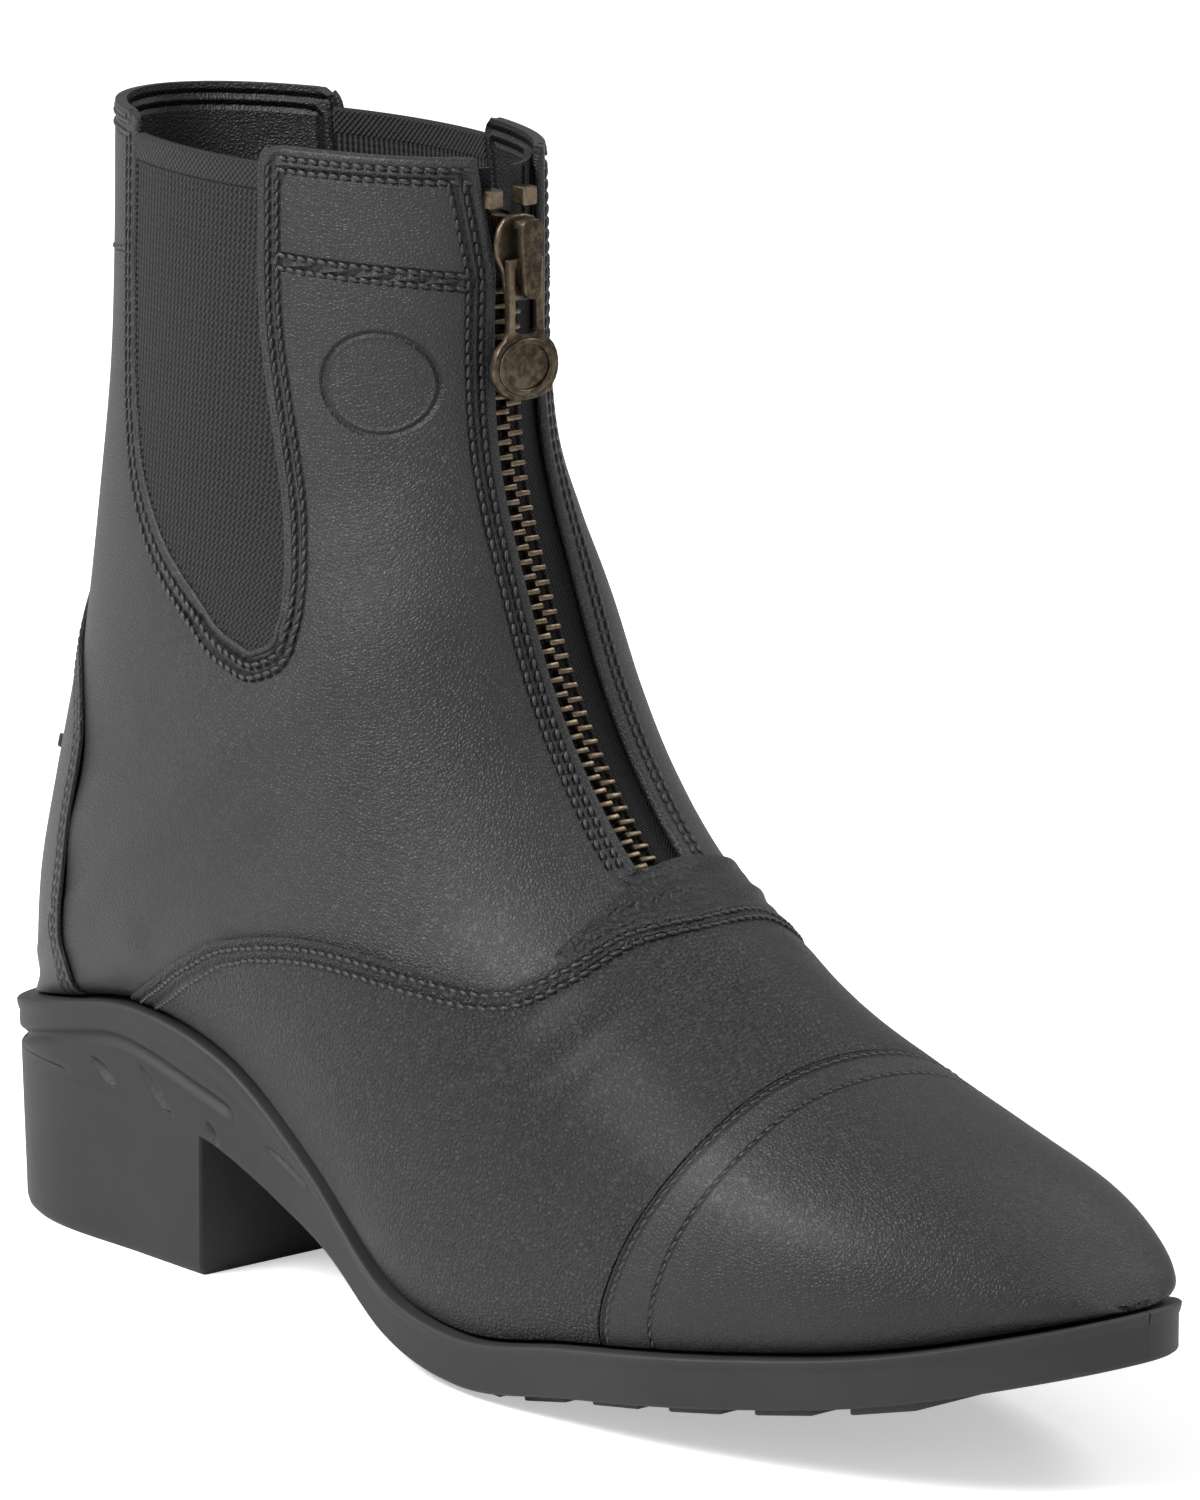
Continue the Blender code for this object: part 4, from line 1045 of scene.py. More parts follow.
def gusset_place(u, v):
    spread = GUSSET_FROM + (GUSSET_TO - GUSSET_FROM) * u
    low = vamp_row(spread) - TUCKED_ROWS
    high = np.maximum(smooth(GUSSET_EDGE, 1, spread), low + SEAM_ROWS)
    return low + v * (high - low), spread


def gusset_relief(row, spread, points):
    """Two trains of small folds across each other, which start above the vamp's seam."""
    above = row - 7.2
    fold = np.sin(above * 17 + spread * 8) * 0.00022 * np.clip(above * 3, 0, 1)
    fold += np.sin(above * 31 - spread * 13) * 0.00012
    return fold - 0.0001


panel("gusset_leather_panel", 60, 30, gusset_place, GUSSET, FOLDED, [], ("gusset",), gusset_relief)

# %% The spur rest: a short ledge across the counter
REST_ROW, REST_FROM = 12.48, 0.86
REST_HIGH, REST_DEEP, REST_OUT = 0.0028, 0.0027, 0.0026
BACK_ROW = 0.182            # height of a row there, as a share of the back
rest_rows = REST_HIGH / (BACK_ROW * (BOOT_HEIGHT - rim(0.0)))


def rest_half(side):
    def rest_place(u, v):
        return REST_ROW + rest_rows * (v - 0.5), side * (REST_FROM + (1 - REST_FROM) * u)
    return drape("spur_rest_%d" % (side + 2), 16, 6, rest_place, CLOSE + THIN + GAP + REST_OUT)


rest = join_halves([rest_half(side) for side, word in SIDES], "spur_ledge")
thicken(rest, REST_DEEP)
round_edges(rest, 0.0007, 3)
write_edge(rest)
dress(rest, RUBBER, slot="rubber", stands_for=("spur_rest",))
soft_shade(rest, 50)

# %% [markdown]
# ## Elastic gores
# The webbing has ribs that run level round the ankle. A bump map would flatten at a low
# angle, so each rib is real relief: the sheet has about five rows of points per rib.

# %% Lay the ribbed webbing between the two edges of each cut-out
GORE_TOP = 0.984            # share of the boot's height
TURN_UNDER = 0.0006         # how far the webbing reaches under the leather
LATTICE = (90, 9)           # places up and across each gore that are sought on the last
GORE_FOOT = GORE[0][0]
RIB_DEPTH, BINDING_FROM, BINDING = 0.00020, 0.945, 0.0019


def gore_lattice(side):
    heights = GORE_FOOT + (GORE_TOP - GORE_FOOT) * np.linspace(0, 1, LATTICE[0]) ** 1.2
    back = SOLE_LENGTH * smooth(GORE, 1, heights) - TURN_UNDER
    front = SOLE_LENGTH * smooth(GORE, 2, heights) + TURN_UNDER
    x = back[:, None] + (front - back)[:, None] * np.linspace(0, 1, LATTICE[1])[None]
    z = np.repeat(BOOT_HEIGHT * heights[:, None], LATTICE[1], axis=1)
    row, share = from_side(x.ravel(), z.ravel())
    return heights, row.reshape(LATTICE), side * share.reshape(LATTICE)


def read_lattice(values, u, v):
    """Bilinear reading of the lattice."""
    up, across = np.clip(v, 0, 1) * (LATTICE[0] - 1), np.clip(u, 0, 1) * (LATTICE[1] - 1)
    i = np.minimum(up.astype(int), LATTICE[0] - 2)
    j = np.minimum(across.astype(int), LATTICE[1] - 2)
    s, t = up - i, across - j
    return ((values[i, j] * (1 - t) + values[i, j + 1] * t) * (1 - s)
            + (values[i + 1, j] * (1 - t) + values[i + 1, j + 1] * t) * s)


def ribs(row, spread, points):
    return RIB_DEPTH * np.sin(points[:, 2] * 2 * pi / RIB)


def finish_elastic(piece, thickness, rounding, shade, stands_for=()):
    """Map, thickness and look of a piece of elastic."""
    flat = points_of(piece)
    write_map(piece, "weave", flat[:, 0], flat[:, 2])
    thicken(piece, thickness)
    if rounding:
        round_edges(piece, rounding)
    dress(piece, ELASTIC_LOOK, slot="elastic", stands_for=stands_for)
    soft_shade(piece, shade)


for side, word in SIDES:
    heights, rows_at, spreads_at = gore_lattice(side)

    def webbing_place(u, v):
        height = GORE_FOOT + (GORE_TOP - GORE_FOOT) * v
        at = np.interp(height, heights, np.linspace(0, 1, LATTICE[0]))
        return read_lattice(rows_at, u, at), read_lattice(spreads_at, u, at)

    def binding_place(u, v):
        return webbing_place(u, BINDING_FROM + (1 - BINDING_FROM) * v)

    webbing = drape("gore_webbing_" + word, 28, 350, webbing_place, -TURN_UNDER, ribs)
    finish_elastic(webbing, ELASTIC, None, 60, ("gore_" + word,))
    binding = drape("gore_binding_" + word, 28, 8, binding_place, -TURN_UNDER / 2)
    finish_elastic(binding, BINDING, 0.0004, 50)

# %% [markdown]
# ## Stitches
# There are more than a thousand stitches. One is modelled from a sphere, stretched and laid
# over slightly, as a lockstitch lies, and it is then copied down each seam line at a
# constant pitch. All of them go into one mesh, because a thousand objects would be slow.

# %% One stitch
STITCH_SIZE, STITCH_PITCH, SLANT = (0.00195, 0.00078, 0.00072), 0.0021, radians(13)
MIDPOINT = (0, 0, 0)


def take_shape(piece):
    """The points and faces of a modelled piece, which is then put away."""
    points = points_of(piece).copy()
    faces = [tuple(poly.vertices) for poly in piece.data.polygons]
    bpy.data.objects.remove(piece, do_unlink=True)
    return points, faces


nothing_selected()
bpy.ops.mesh.primitive_uv_sphere_add(segments=8, ring_count=5, radius=0.5, location=MIDPOINT)
edit_all(bpy.context.object,
         lambda: bpy.ops.transform.rotate(value=radians(90), orient_axis="Y", center_override=MIDPOINT),
         lambda: bpy.ops.transform.resize(value=STITCH_SIZE, center_override=MIDPOINT),
         lambda: bpy.ops.transform.rotate(value=SLANT, orient_axis="Z", center_override=MIDPOINT))
STITCH_POINTS, STITCH_FACES = take_shape(bpy.context.object)
print("stitch", len(STITCH_FACES), "faces")
SEWN = {"points": [], "faces": []}


def sew(row, spread, grow):
    """Copy the stitch down a line of the last."""
    path = last(row, spread, grow)
    done = line_length(path)
    count = max(int(done[-1] / STITCH_PITCH), 1)
    marks = (np.arange(count) + 0.5) * done[-1] / count
    row_at, spread_at_mark = np.interp(marks, done, row), np.interp(marks, done, spread)
    middle = last(row_at, spread_at_mark, grow)
    ahead = resample(path, np.minimum(marks + 0.0005, done[-1]))
    ahead -= resample(path, np.maximum(marks - 0.0005, 0))
    ahead /= np.linalg.norm(ahead, axis=1, keepdims=True)
    out = last(row_at, spread_at_mark, grow + 1e-3) - middle
    out -= np.sum(out * ahead, axis=1, keepdims=True) * ahead
    out /= np.linalg.norm(out, axis=1, keepdims=True)
    beside = np.cross(out, ahead)
    for k in range(count):
        start = len(SEWN["points"]) * len(STITCH_POINTS)
        SEWN["faces"] += [tuple(i + start for i in face) for face in STITCH_FACES]
        SEWN["points"].append(middle[k] + STITCH_POINTS[:, :1] * ahead[k] + STITCH_POINTS[:, 1:2] * beside[k]
                              + STITCH_POINTS[:, 2:] * out[k])


def below_collar(spread, drop):
    """Row at a distance below the collar's edge."""
    fall = (last(COLLAR_ROW, spread)[..., 2] - last(COLLAR_ROW - 0.2, spread)[..., 2]) / 0.2
    return COLLAR_ROW - drop / fall


def eased(values):
    """A running mean, which takes out the small kink where the last's rows turn up the heel."""
    return np.convolve(np.pad(values, 4, mode="edge"), np.ones(9) / 9, mode="valid")


# %% Sew the quarters, vamp, cap and counter
ON_QUARTER = -0.00005       # the thread lies half in the leather
ON_OVERLAY = SNUG + COVER - 0.0001
PANEL_FROM, PANEL_TO = -0.085, 0.165        # the front panels' stitches start beside the zip
SHORT_FRONT, SHORT_BACK, SHORT_EDGE = 0.025, 0.012, 0.030   # shares left free at the gore's corners
top_front, top_back = {}, {}
for side, word in SIDES:
    row, share = round_the_foot(0.0, 0.985)
    for distance in (FIRST_ROW, SECOND_ROW):
        sew(*shift(row, side * share, -side * distance), ON_QUARTER)
    top_back[side], top_front[side] = share[0], share[-1]
    for off in (-CROSS_OFF, CROSS_OFF):
        sew(*shift(*cross_seam(side), off), ON_QUARTER)
    sew(*back_seam(side), ON_QUARTER)
zip_rows = np.linspace(ZIP_FOOT + 0.05, 15.78, 120)
for distance in (FIRST_ROW, SECOND_ROW):
    sew(zip_rows, spread_at(zip_rows, slot_near(zip_rows) - distance), ON_QUARTER)
    sew(zip_rows, spread_at(zip_rows, np.full(120, SLOT_FAR + distance)), ON_QUARTER)
for drop in (FIRST_ROW, SECOND_ROW):
    for start, end in ((PANEL_FROM, -top_front[-1] + SHORT_FRONT), (PANEL_TO, top_front[1] - SHORT_FRONT),
                       (-top_back[-1] - SHORT_BACK, -1.0), (1.0, top_back[1] + SHORT_BACK)):
        along = np.linspace(start, end, 50)
        sew(below_collar(along, drop), along, ON_QUARTER)

for distance in (-FIRST_ROW, -SECOND_ROW):
    row, spread = shift(vamp_row(ACROSS), ACROSS, distance)
    if last(row, spread)[60, 0] < last(vamp_row(ACROSS), ACROSS)[60, 0]:
        row, spread = shift(vamp_row(ACROSS), ACROSS, -distance)
    sew(row, np.clip(spread, -1, 1), ON_OVERLAY)
inner = np.linspace(-0.985, 0.985, 121)
sew(cap_row(inner) - SECOND_CAP_ROWS, inner, ON_OVERLAY - 0.0002)
sew(cap_row(inner) - 0.050, inner, ON_OVERLAY - 0.0001)
for side, word in SIDES:
    rows, spreads = counter_arm(side, np.linspace(COUNTER_FOOT + 0.1, COUNTER_TOP - 0.05, 120))
    for distance in (FIRST_ROW, SECOND_ROW):
        row, spread = shift(rows, spreads, distance)
        if np.abs(spread[60]) < np.abs(spreads[60]):
            row, spread = shift(rows, spreads, -distance)
        sew(eased(row), np.clip(eased(spread), -1, 1), CLOSE + THIN - 0.0001)

# %% Make the sewn stitches one mesh
stitches = from_lists("stitches", SEWN["points"], SEWN["faces"])
dress(stitches, THREAD, slot="leather")
soft_shade(stitches, 80)
print("stitches sewn", len(SEWN["points"]))

# %% [markdown]
# ## Turned edges
# A cut edge of leather is never a knife edge: it is folded and rounded. A slim tube runs
# along each free edge, which catches the light as the real fold does.

# %% Tubes along the free edges
def tube(name, points, radius, look=QUARTER, slot="leather"):
    curve = bpy.data.curves.new(name, "CURVE")
    curve.dimensions = "3D"
    curve.bevel_depth = radius
    curve.bevel_resolution = 3
    curve.use_fill_caps = True
    line = curve.splines.new("POLY")
    line.points.add(len(points) - 1)
    line.points.foreach_set("co", np.concatenate([points, np.ones((len(points), 1))], axis=1).ravel())
    piece = new_object(name, curve)
    only(piece)
    bpy.ops.object.convert(target="MESH")
    write_edge(piece)
    dress(piece, look, slot=slot)
    return piece


EDGE_ROLL, ZIP_ROLL, ROLL_DEPTH = 0.0006, 0.00095, 0.0009
for side, word in SIDES:
    row, share = round_the_foot(0.0002, 0.9955)
    tube("gore_edge_" + word, last(row, side * share, -EDGE_ROLL), EDGE_ROLL)
rows = np.linspace(ZIP_FOOT, 15.98, 140)
for word, edge in (("lateral", slot_near(rows)), ("medial", np.full(140, SLOT_FAR))):
    tube("zip_edge_" + word, last(rows, spread_at(rows, edge), -ROLL_DEPTH), ZIP_ROLL)
behind = (-top_back[-1] - SHORT_EDGE, top_back[1] + SHORT_EDGE)
collar_spans = {
    "back_panel": np.concatenate([np.linspace(behind[0], -1, 40), np.linspace(1, behind[1], 40)[1:]]),
    "lateral_quarter": np.linspace(PANEL_FROM, -top_front[-1] + SHORT_EDGE, 40),
    "medial_quarter": np.linspace(PANEL_TO, top_front[1] - SHORT_EDGE, 40)}
for word, along in collar_spans.items():
    top_edge = last(below_collar(along, ROLL_DEPTH), along, -WALL / 2)
    tube("collar_edge_" + word, top_edge, WALL / 2 + 0.0001)

# %% [markdown]
# ## Zip
# The teeth are metal clamps, one after the other on either tape. Above the slider the
# tapes part. One tooth is modelled from a cube with bevelled corners and copied on both
# sides with half a pitch between them.

# %% Tapes
def tape_spread(row):
    wedge = row_at_height(BOOT_HEIGHT - SLIDER_TOP - 0.6 * SLIDER_LENGTH)
    return GAP / 2 + TAPE_OPEN * np.clip((row - wedge) / (TAPE_TOP - wedge) * 2.2, 0, 1)


TAPE_DEPTH = -WALL - TAPE_CLEAR
TAPE_FOOT = ZIP_FOOT - 0.1
CORD_OFF, CORD = 0.0033, 0.00045            # the tape's sewn-in cord: beside its edge, and radius
for side, word in SIDES:
    sewn = TAPE_WIDTH if side < 0 else TAPE_WIDTH + SLOT_FAR - SLOT_SIDE

    def tape_place(u, v):
        row = TAPE_FOOT + (TAPE_TOP - TAPE_FOOT) * v
        y = side * (tape_spread(row) + (sewn - tape_spread(row)) * u)
        return row, spread_at(row, y, TAPE_DEPTH)

    tape = drape("tape_" + word, 14, 160, tape_place, TAPE_DEPTH)
    tape_rows = np.linspace(TAPE_FOOT, TAPE_TOP, 161)
    done = line_length(last(tape_rows, 0.0, TAPE_DEPTH))
    write_map(tape, "weave", points_of(tape)[:, 1], np.interp(read_value(tape, "row"), tape_rows, done))
    thicken(tape, TAPE)
    dress(tape, TAPE_LOOK, slot="elastic", stands_for=("zip_tape_" + word,))
    soft_shade(tape, 50)
    cord_rows = np.linspace(ZIP_FOOT - 0.05, TAPE_TOP - 0.02, 120)
    beside = side * (tape_spread(cord_rows) + CORD_OFF)
    ridge = last(cord_rows, spread_at(cord_rows, beside, TAPE_DEPTH), TAPE_DEPTH + 0.0001)
    edge_cord = tube("tape_cord_" + word, ridge, CORD, TAPE_LOOK, "elastic")
    write_map(edge_cord, "weave", points_of(edge_cord)[:, 1], points_of(edge_cord)[:, 2])


# %% Frames along the zip: place, direction up the zip and direction out of the boot
def zip_frame(row, depth):
    x, z = crown_point(np.asarray(row, float), np.full(np.shape(row), depth))
    x2, z2 = crown_point(np.asarray(row, float), np.full(np.shape(row), depth + 1e-3))
    out = np.stack([x2 - x, np.zeros_like(x), z2 - z], axis=-1) / 1e-3
    up = np.stack([-out[..., 2], np.zeros_like(x), out[..., 0]], axis=-1)
    return place(x, 0.0, z), up, out


# %% One tooth, and the chain of them
TOOTH_SIZE, TOOTH_ROUND = (0.00105, 0.0034, 0.0015), 0.00032
TOOTH_OFF, TOOTH_HEAD = 0.00135, 0.0012     # beside the middle; where head and clamp begin
nothing_selected()
bpy.ops.mesh.primitive_cube_add(size=1, location=MIDPOINT)
edit_all(bpy.context.object,
         lambda: bpy.ops.transform.resize(value=TOOTH_SIZE, center_override=MIDPOINT),
         lambda: bpy.ops.mesh.bevel(offset=TOOTH_ROUND, segments=2, affect="EDGES"))
TOOTH_POINTS, TOOTH_FACES = take_shape(bpy.context.object)
TOOTH_POINTS[:, 2] *= np.where(TOOTH_POINTS[:, 1] < -TOOTH_HEAD, 1.25, 1.0)
TOOTH_POINTS[:, 0] *= np.where(TOOTH_POINTS[:, 1] > TOOTH_HEAD, 0.80, 1.0)

chain_top = row_at_height(BOOT_HEIGHT - SLIDER_TOP - 0.75 * SLIDER_LENGTH)
at, up, out = zip_frame(np.linspace(ZIP_FOOT + 0.02, chain_top, 2000), TAPE_DEPTH + 0.0009)
done = line_length(at)
count = int(done[-1] / (TOOTH_PITCH / 2))
tooth_points, tooth_faces = [], []
for k in range(count):
    i = int(np.searchsorted(done, (k + 0.5) * TOOTH_PITCH / 2))
    side = 1 if k % 2 else -1
    across = np.array([0.0, side, 0.0])
    tooth_faces += [tuple(v + k * len(TOOTH_POINTS) for v in face) for face in TOOTH_FACES]
    tooth_points.append(at[i] + TOOTH_OFF * across + TOOTH_POINTS[:, :1] * up[i]
                        + TOOTH_POINTS[:, 1:2] * across + TOOTH_POINTS[:, 2:] * out[i])
teeth = from_lists("zip_teeth", tooth_points, tooth_faces)
edit_all(teeth, normals_out)
dress(teeth, BRASS, slot="brass", stands_for=("zip_chain",))
soft_shade(teeth, 35)
print("teeth", count)


# %% Solid metal parts: a filled outline, extruded and bevelled
def metal(name, outline_yz, x_low, x_high, rounding, body=BOOT, stands_for=(), hole=None):
    """A flat plate in the plane of the collar's front: outline in y and z, thick along x."""
    bm = bmesh.new()
    edges = []
    for loop in [outline_yz] + ([hole] if hole else []):
        verts = [bm.verts.new((x_low, y, z)) for y, z in loop]
        edges += [bm.edges.new(pair) for pair in zip(verts, verts[1:] + verts[:1])]
    bmesh.ops.triangle_fill(bm, edges=edges, use_beauty=True)
    mesh = bpy.data.meshes.new(name)
    bm.to_mesh(mesh)
    bm.free()
    piece = new_object(name, mesh)
    move = {"value": (x_high - x_low, 0, 0)}
    edit_all(piece, lambda: bpy.ops.mesh.extrude_region_move(TRANSFORM_OT_translate=move), normals_out)
    round_edges(piece, rounding, 3)
    dress(piece, BRASS, body=body, slot="brass", stands_for=stands_for)
    soft_shade(piece, 35)


def rounded(wide, low, high, corner, middle=-MIDDLE, steps=5):
    """A rectangle with round corners, as a list of y, z."""
    points = []
    for cy, cz, turn in ((wide, high, 0), (-wide, high, 90), (-wide, low, 180), (wide, low, 270)):
        sy, sz = (1 if cy > 0 else -1), (1 if cz == high else -1)
        for k in range(steps + 1):
            a = radians(turn + 90 * k / steps)
            points.append((middle + cy - sy * corner + corner * cos(a), cz - sz * corner + corner * sin(a)))
    return points


def beside_middle(points, height=0.0):
    """Points of a y, z drawing, set on the boot's middle plane at a height."""
    return [(y - MIDDLE, z + height) for y, z in points]


# %% Slider: two plates, a wedge between them and a raised bridge on two feet
SLIDER_HIGH = BOOT_HEIGHT - SLIDER_TOP
SLIDER_LOW = SLIDER_HIGH - SLIDER_LENGTH
PLATE_THICK, BRIDGE_GAP, BRIDGE_THICK = 0.0012, 0.0021, 0.0015
FACE = float(crown(row_at_height((SLIDER_LOW + SLIDER_HIGH) / 2))[0]) - SOLE_LENGTH / 2
PLATE = FACE + 3 * GAP
RISE = PLATE + PLATE_THICK
BACK_PLATE = FACE - WALL - TAPE_CLEAR - TAPE - 5 * GAP
wing_half = [(0.0027, 0.0), (0.0031, 0.0030), (0.0036, 0.0055), (0.0048, 0.0078), (0.0050, 0.0100),
             (0.0044, 0.0125), (0.0030, 0.0142), (0.0012, 0.0147)]
wing = [(-y, z) for y, z in wing_half[:1]] + wing_half + [(-y, z) for y, z in wing_half[:0:-1]]
wing = beside_middle(wing, SLIDER_LOW)
metal("slider_plate", wing, PLATE, RISE, 0.0004, stands_for=("slider",))
metal("slider_back", wing, BACK_PLATE - PLATE_THICK, BACK_PLATE, 0.0003)
metal("slider_wedge", rounded(0.0009, SLIDER_HIGH - 0.0042, SLIDER_HIGH - 0.0006, 0.0004), BACK_PLATE,
      PLATE, 0.0001)
bridge = [(y * (0.72 + 0.28 * min(1.0, max(0.0, (z - SLIDER_LOW) / SLIDER_LENGTH * 2 - 0.7))), z)
          for y, z in rounded(0.0022, SLIDER_LOW + 0.0008, SLIDER_HIGH - 0.0004, 0.0015, 0.0)]
metal("slider_bridge", beside_middle(bridge), RISE + BRIDGE_GAP, RISE + BRIDGE_GAP + BRIDGE_THICK, 0.0007)
for number, low in ((1, SLIDER_LOW + 0.0010), (2, SLIDER_HIGH - 0.0024)):
    metal("bridge_foot_%d" % number, rounded(0.0014, low, low + 0.0016, 0.0005), PLATE + 0.0006,
          RISE + 0.0024, 0.0002)

# %% Pull tab: a frame round the bridge, and a round disc under it
axis = [joint for joint in RECORD["behaviour"]["joints"] if joint["name"] == "pull_swing"][0]["pos_m"]
AXIS_X, AXIS_Z = axis[0], axis[2]
PULL_LENGTH, PULL_WIDTH, PULL_WINDOW, PULL_RAIL, PULL_BAR = 0.0235, 0.0139, 0.0115, 0.0014, 0.0013
DISC_RIM, DISC_MIDDLE = 0.43, 0.34          # outside and inside of the disc's rim, of its size
window = 0.0017 + 2 * GAP
neck = window + PULL_RAIL
disc_top = -PULL_WINDOW - PULL_BAR / 2
disc_tall = PULL_LENGTH + disc_top
half_shape = [(neck, PULL_BAR / 2), (neck, disc_top + PULL_RAIL * 0.6)]
for k in range(13):
    turn = radians(58 - 148 * k / 12)
    half_shape.append((PULL_WIDTH / 2 * cos(turn) ** 0.75 if k < 12 else 0.0,
                       disc_top - disc_tall / 2 + disc_tall / 2 * sin(turn)))
shape = half_shape + [(-y, z) for y, z in reversed(half_shape[:-1])]
hole = [(window, -PULL_BAR / 2), (window, disc_top + 0.0006), (window * 0.5, disc_top),
        (-window * 0.5, disc_top), (-window, disc_top + 0.0006), (-window, -PULL_BAR / 2)]
front = AXIS_X + PULL_BAR / 2
metal("pull_frame", beside_middle(shape, AXIS_Z), AXIS_X - PULL_BAR / 2, front, 0.0003, body=PULL,
      stands_for=("pull_tab",), hole=beside_middle(hole, AXIS_Z))


def disc(share):
    turns = np.linspace(0, 2 * pi, 33)[:-1]
    middle_z = AXIS_Z + disc_top - disc_tall / 2
    return [(PULL_WIDTH * share * cos(a) - MIDDLE, middle_z + disc_tall * share * sin(a)) for a in turns]


metal("pull_rim", disc(DISC_RIM), front - 0.0002, front + 0.0004, 0.0002, body=PULL, hole=disc(DISC_MIDDLE))

# %% Top stops, clamped over the two tape ends
STOP_HALF, STOP_HIGH = 0.0015, 0.0032
stop_low = SLIDER_HIGH + GAP + 0.00065
stop_row = row_at_height(stop_low + 0.0013)
stop_x = float(crown(stop_row)[0]) - SOLE_LENGTH / 2 + TAPE_DEPTH + GAP
for side, word in SIDES:
    middle = side * (float(tape_spread(stop_row)) + 0.0013) - MIDDLE
    metal("stop_" + word, rounded(STOP_HALF, stop_low, stop_low + STOP_HIGH, 0.0004, middle),
          stop_x - 0.0004, stop_x + 0.0024, 0.0003, stands_for=("zip_stop_" + word,))

# %% [markdown]
# ## Sole
# The unit sole is moulded in one piece. It is lofted: a profile of insets and heights is
# carried round the outline, cut by cut, with more cuts and rounder edges than the CAD
# source needs. Grooves and leaf-shaped hollows on the sides are relief on that wall.

# %% Profile of the side wall: how far in, and the share of the way down
WALL_IN = 0.00035           # how far the wall stands in under the bead at its top
WALL_PROFILE = ([(0.0046, 0.0), (0.0008, 0.0), (0.0002, 0.02), (0.0, 0.05), (0.00005, 0.12), (0.0002, 0.20)]
                + [(WALL_IN, drop) for drop in np.linspace(0.25, 0.91, 26)]
                + [(WALL_IN + 0.0002, 0.95), (WALL_IN + 0.0007, 0.985), (WALL_IN + 0.0016, 1.0)])
FOOT_FROM = 0.93            # below this share the wall turns in, but not over the heel block
# Grooves of the side wall: lines of x share and drop from the rim, then width and depth.
GROOVES = [([(0.03, 0.0078), (0.08, 0.0070), (0.134, 0.0066), (0.187, 0.0068), (0.220, 0.0078),
             (0.263, 0.0088), (0.318, 0.0080)], 0.0011, 0.0012),
           ([(0.345, 0.0066), (0.375, 0.0046), (0.405, 0.0028)], 0.0005, 0.0008),
           ([(0.02, 0.0092), (0.078, 0.0110), (0.142, 0.0140)], 0.0012, 0.0006)]
# Leaf-shaped hollows: x share, drop, half length, half width, tilt in degrees.
LEAVES = [(0.1755, 0.0130, 0.0045, 0.0011, 38), (0.233, 0.0140, 0.0068, 0.0011, 38),
          (0.291, 0.0147, 0.0022, 0.0010, 38)]
LEAF_DEPTH = 0.0014


def wall_relief(x, drop):
    """How far the side wall is set in by grooves and leaf-shaped hollows."""
    total = np.zeros_like(x)
    down = drop * SOLE_EDGE * smooth(EDGE_LINE, 1, x / SOLE_LENGTH)
    for line, width, depth in GROOVES:
        start, end = line[0][0] * SOLE_LENGTH, line[-1][0] * SOLE_LENGTH
        fade = np.clip(np.minimum(x - start, end - x) / 0.004, 0, 1)
        total += fade * depth * np.exp(-((down - smooth(line, 1, x / SOLE_LENGTH)) / width) ** 2)
    for share, middle_drop, half_long, half_wide, tilt in LEAVES:
        dx, dz = x - share * SOLE_LENGTH, middle_drop - down
        u = dx * cos(radians(tilt)) - dz * sin(radians(tilt))
        w = dx * sin(radians(tilt)) + dz * cos(radians(tilt))
        leaf = 1 - (u / half_long) ** 2 - np.abs(w) / half_wide
        total += LEAF_DEPTH * np.clip(leaf * 2.2, 0, 1)
    return total


def moulded(name, points, rings, shade, **what):
    """A rubber loft: rings of equal size joined one to the next, with both ends closed."""
    size = sum(len(block) for block in points) // rings
    faces = [(i * size + j, i * size + (j + 1) % size, (i + 1) * size + (j + 1) % size, (i + 1) * size + j)
             for i in range(rings - 1) for j in range(size)]
    faces += [tuple(reversed(range(size))), tuple(range((rings - 1) * size, rings * size))]
    piece = from_lists(name, points, faces)
    edit_all(piece, lambda: bpy.ops.mesh.remove_doubles(threshold=1e-6), normals_out)
    dress(piece, RUBBER, slot="rubber", **what)
    soft_shade(piece, shade)


alongs = np.concatenate([[0.0006, 0.002, 0.005], np.linspace(0.009, 0.20, 60)[:-1],
                         np.linspace(0.20, 0.44, 230)[:-1], np.linspace(0.44, 0.991, 170),
                         [0.995, 0.998, 0.9994]])
sole_columns = []
for side, word in SIDES:
    half = []
    for inset, drop in WALL_PROFILE:
        x = outline(alongs, inset)[0]
        if drop > FOOT_FROM:
            inset = WALL_IN + (inset - WALL_IN) * np.clip((x - HEEL_BREAST + 0.002) / 0.005, 0, 1)
        groove = wall_relief(x, drop) if drop > 0.21 else 0.0
        x, lateral, medial, centre = outline(alongs, inset + groove)
        y = centre - lateral if side < 0 else centre + medial
        half.append(place(x, y, rim(x) - GAP + (sole_bottom(x) - rim(x) + GAP) * drop))
    sole_columns += half if side < 0 else half[::-1]
moulded("unit_sole", [np.stack(sole_columns, axis=1).reshape(-1, 3)], len(alongs), 45,
        stands_for=("outsole",))

# %% Heel block
HEEL_PROFILE = [(0.00055, 0.0), (0.00055, 0.03), (0.0008, 0.5), (0.00105, 0.93), (0.0013, 0.97),
                (0.0021, 1.0)]
INTO_SOLE, BREAST_LEAN = 0.0012, 0.0010
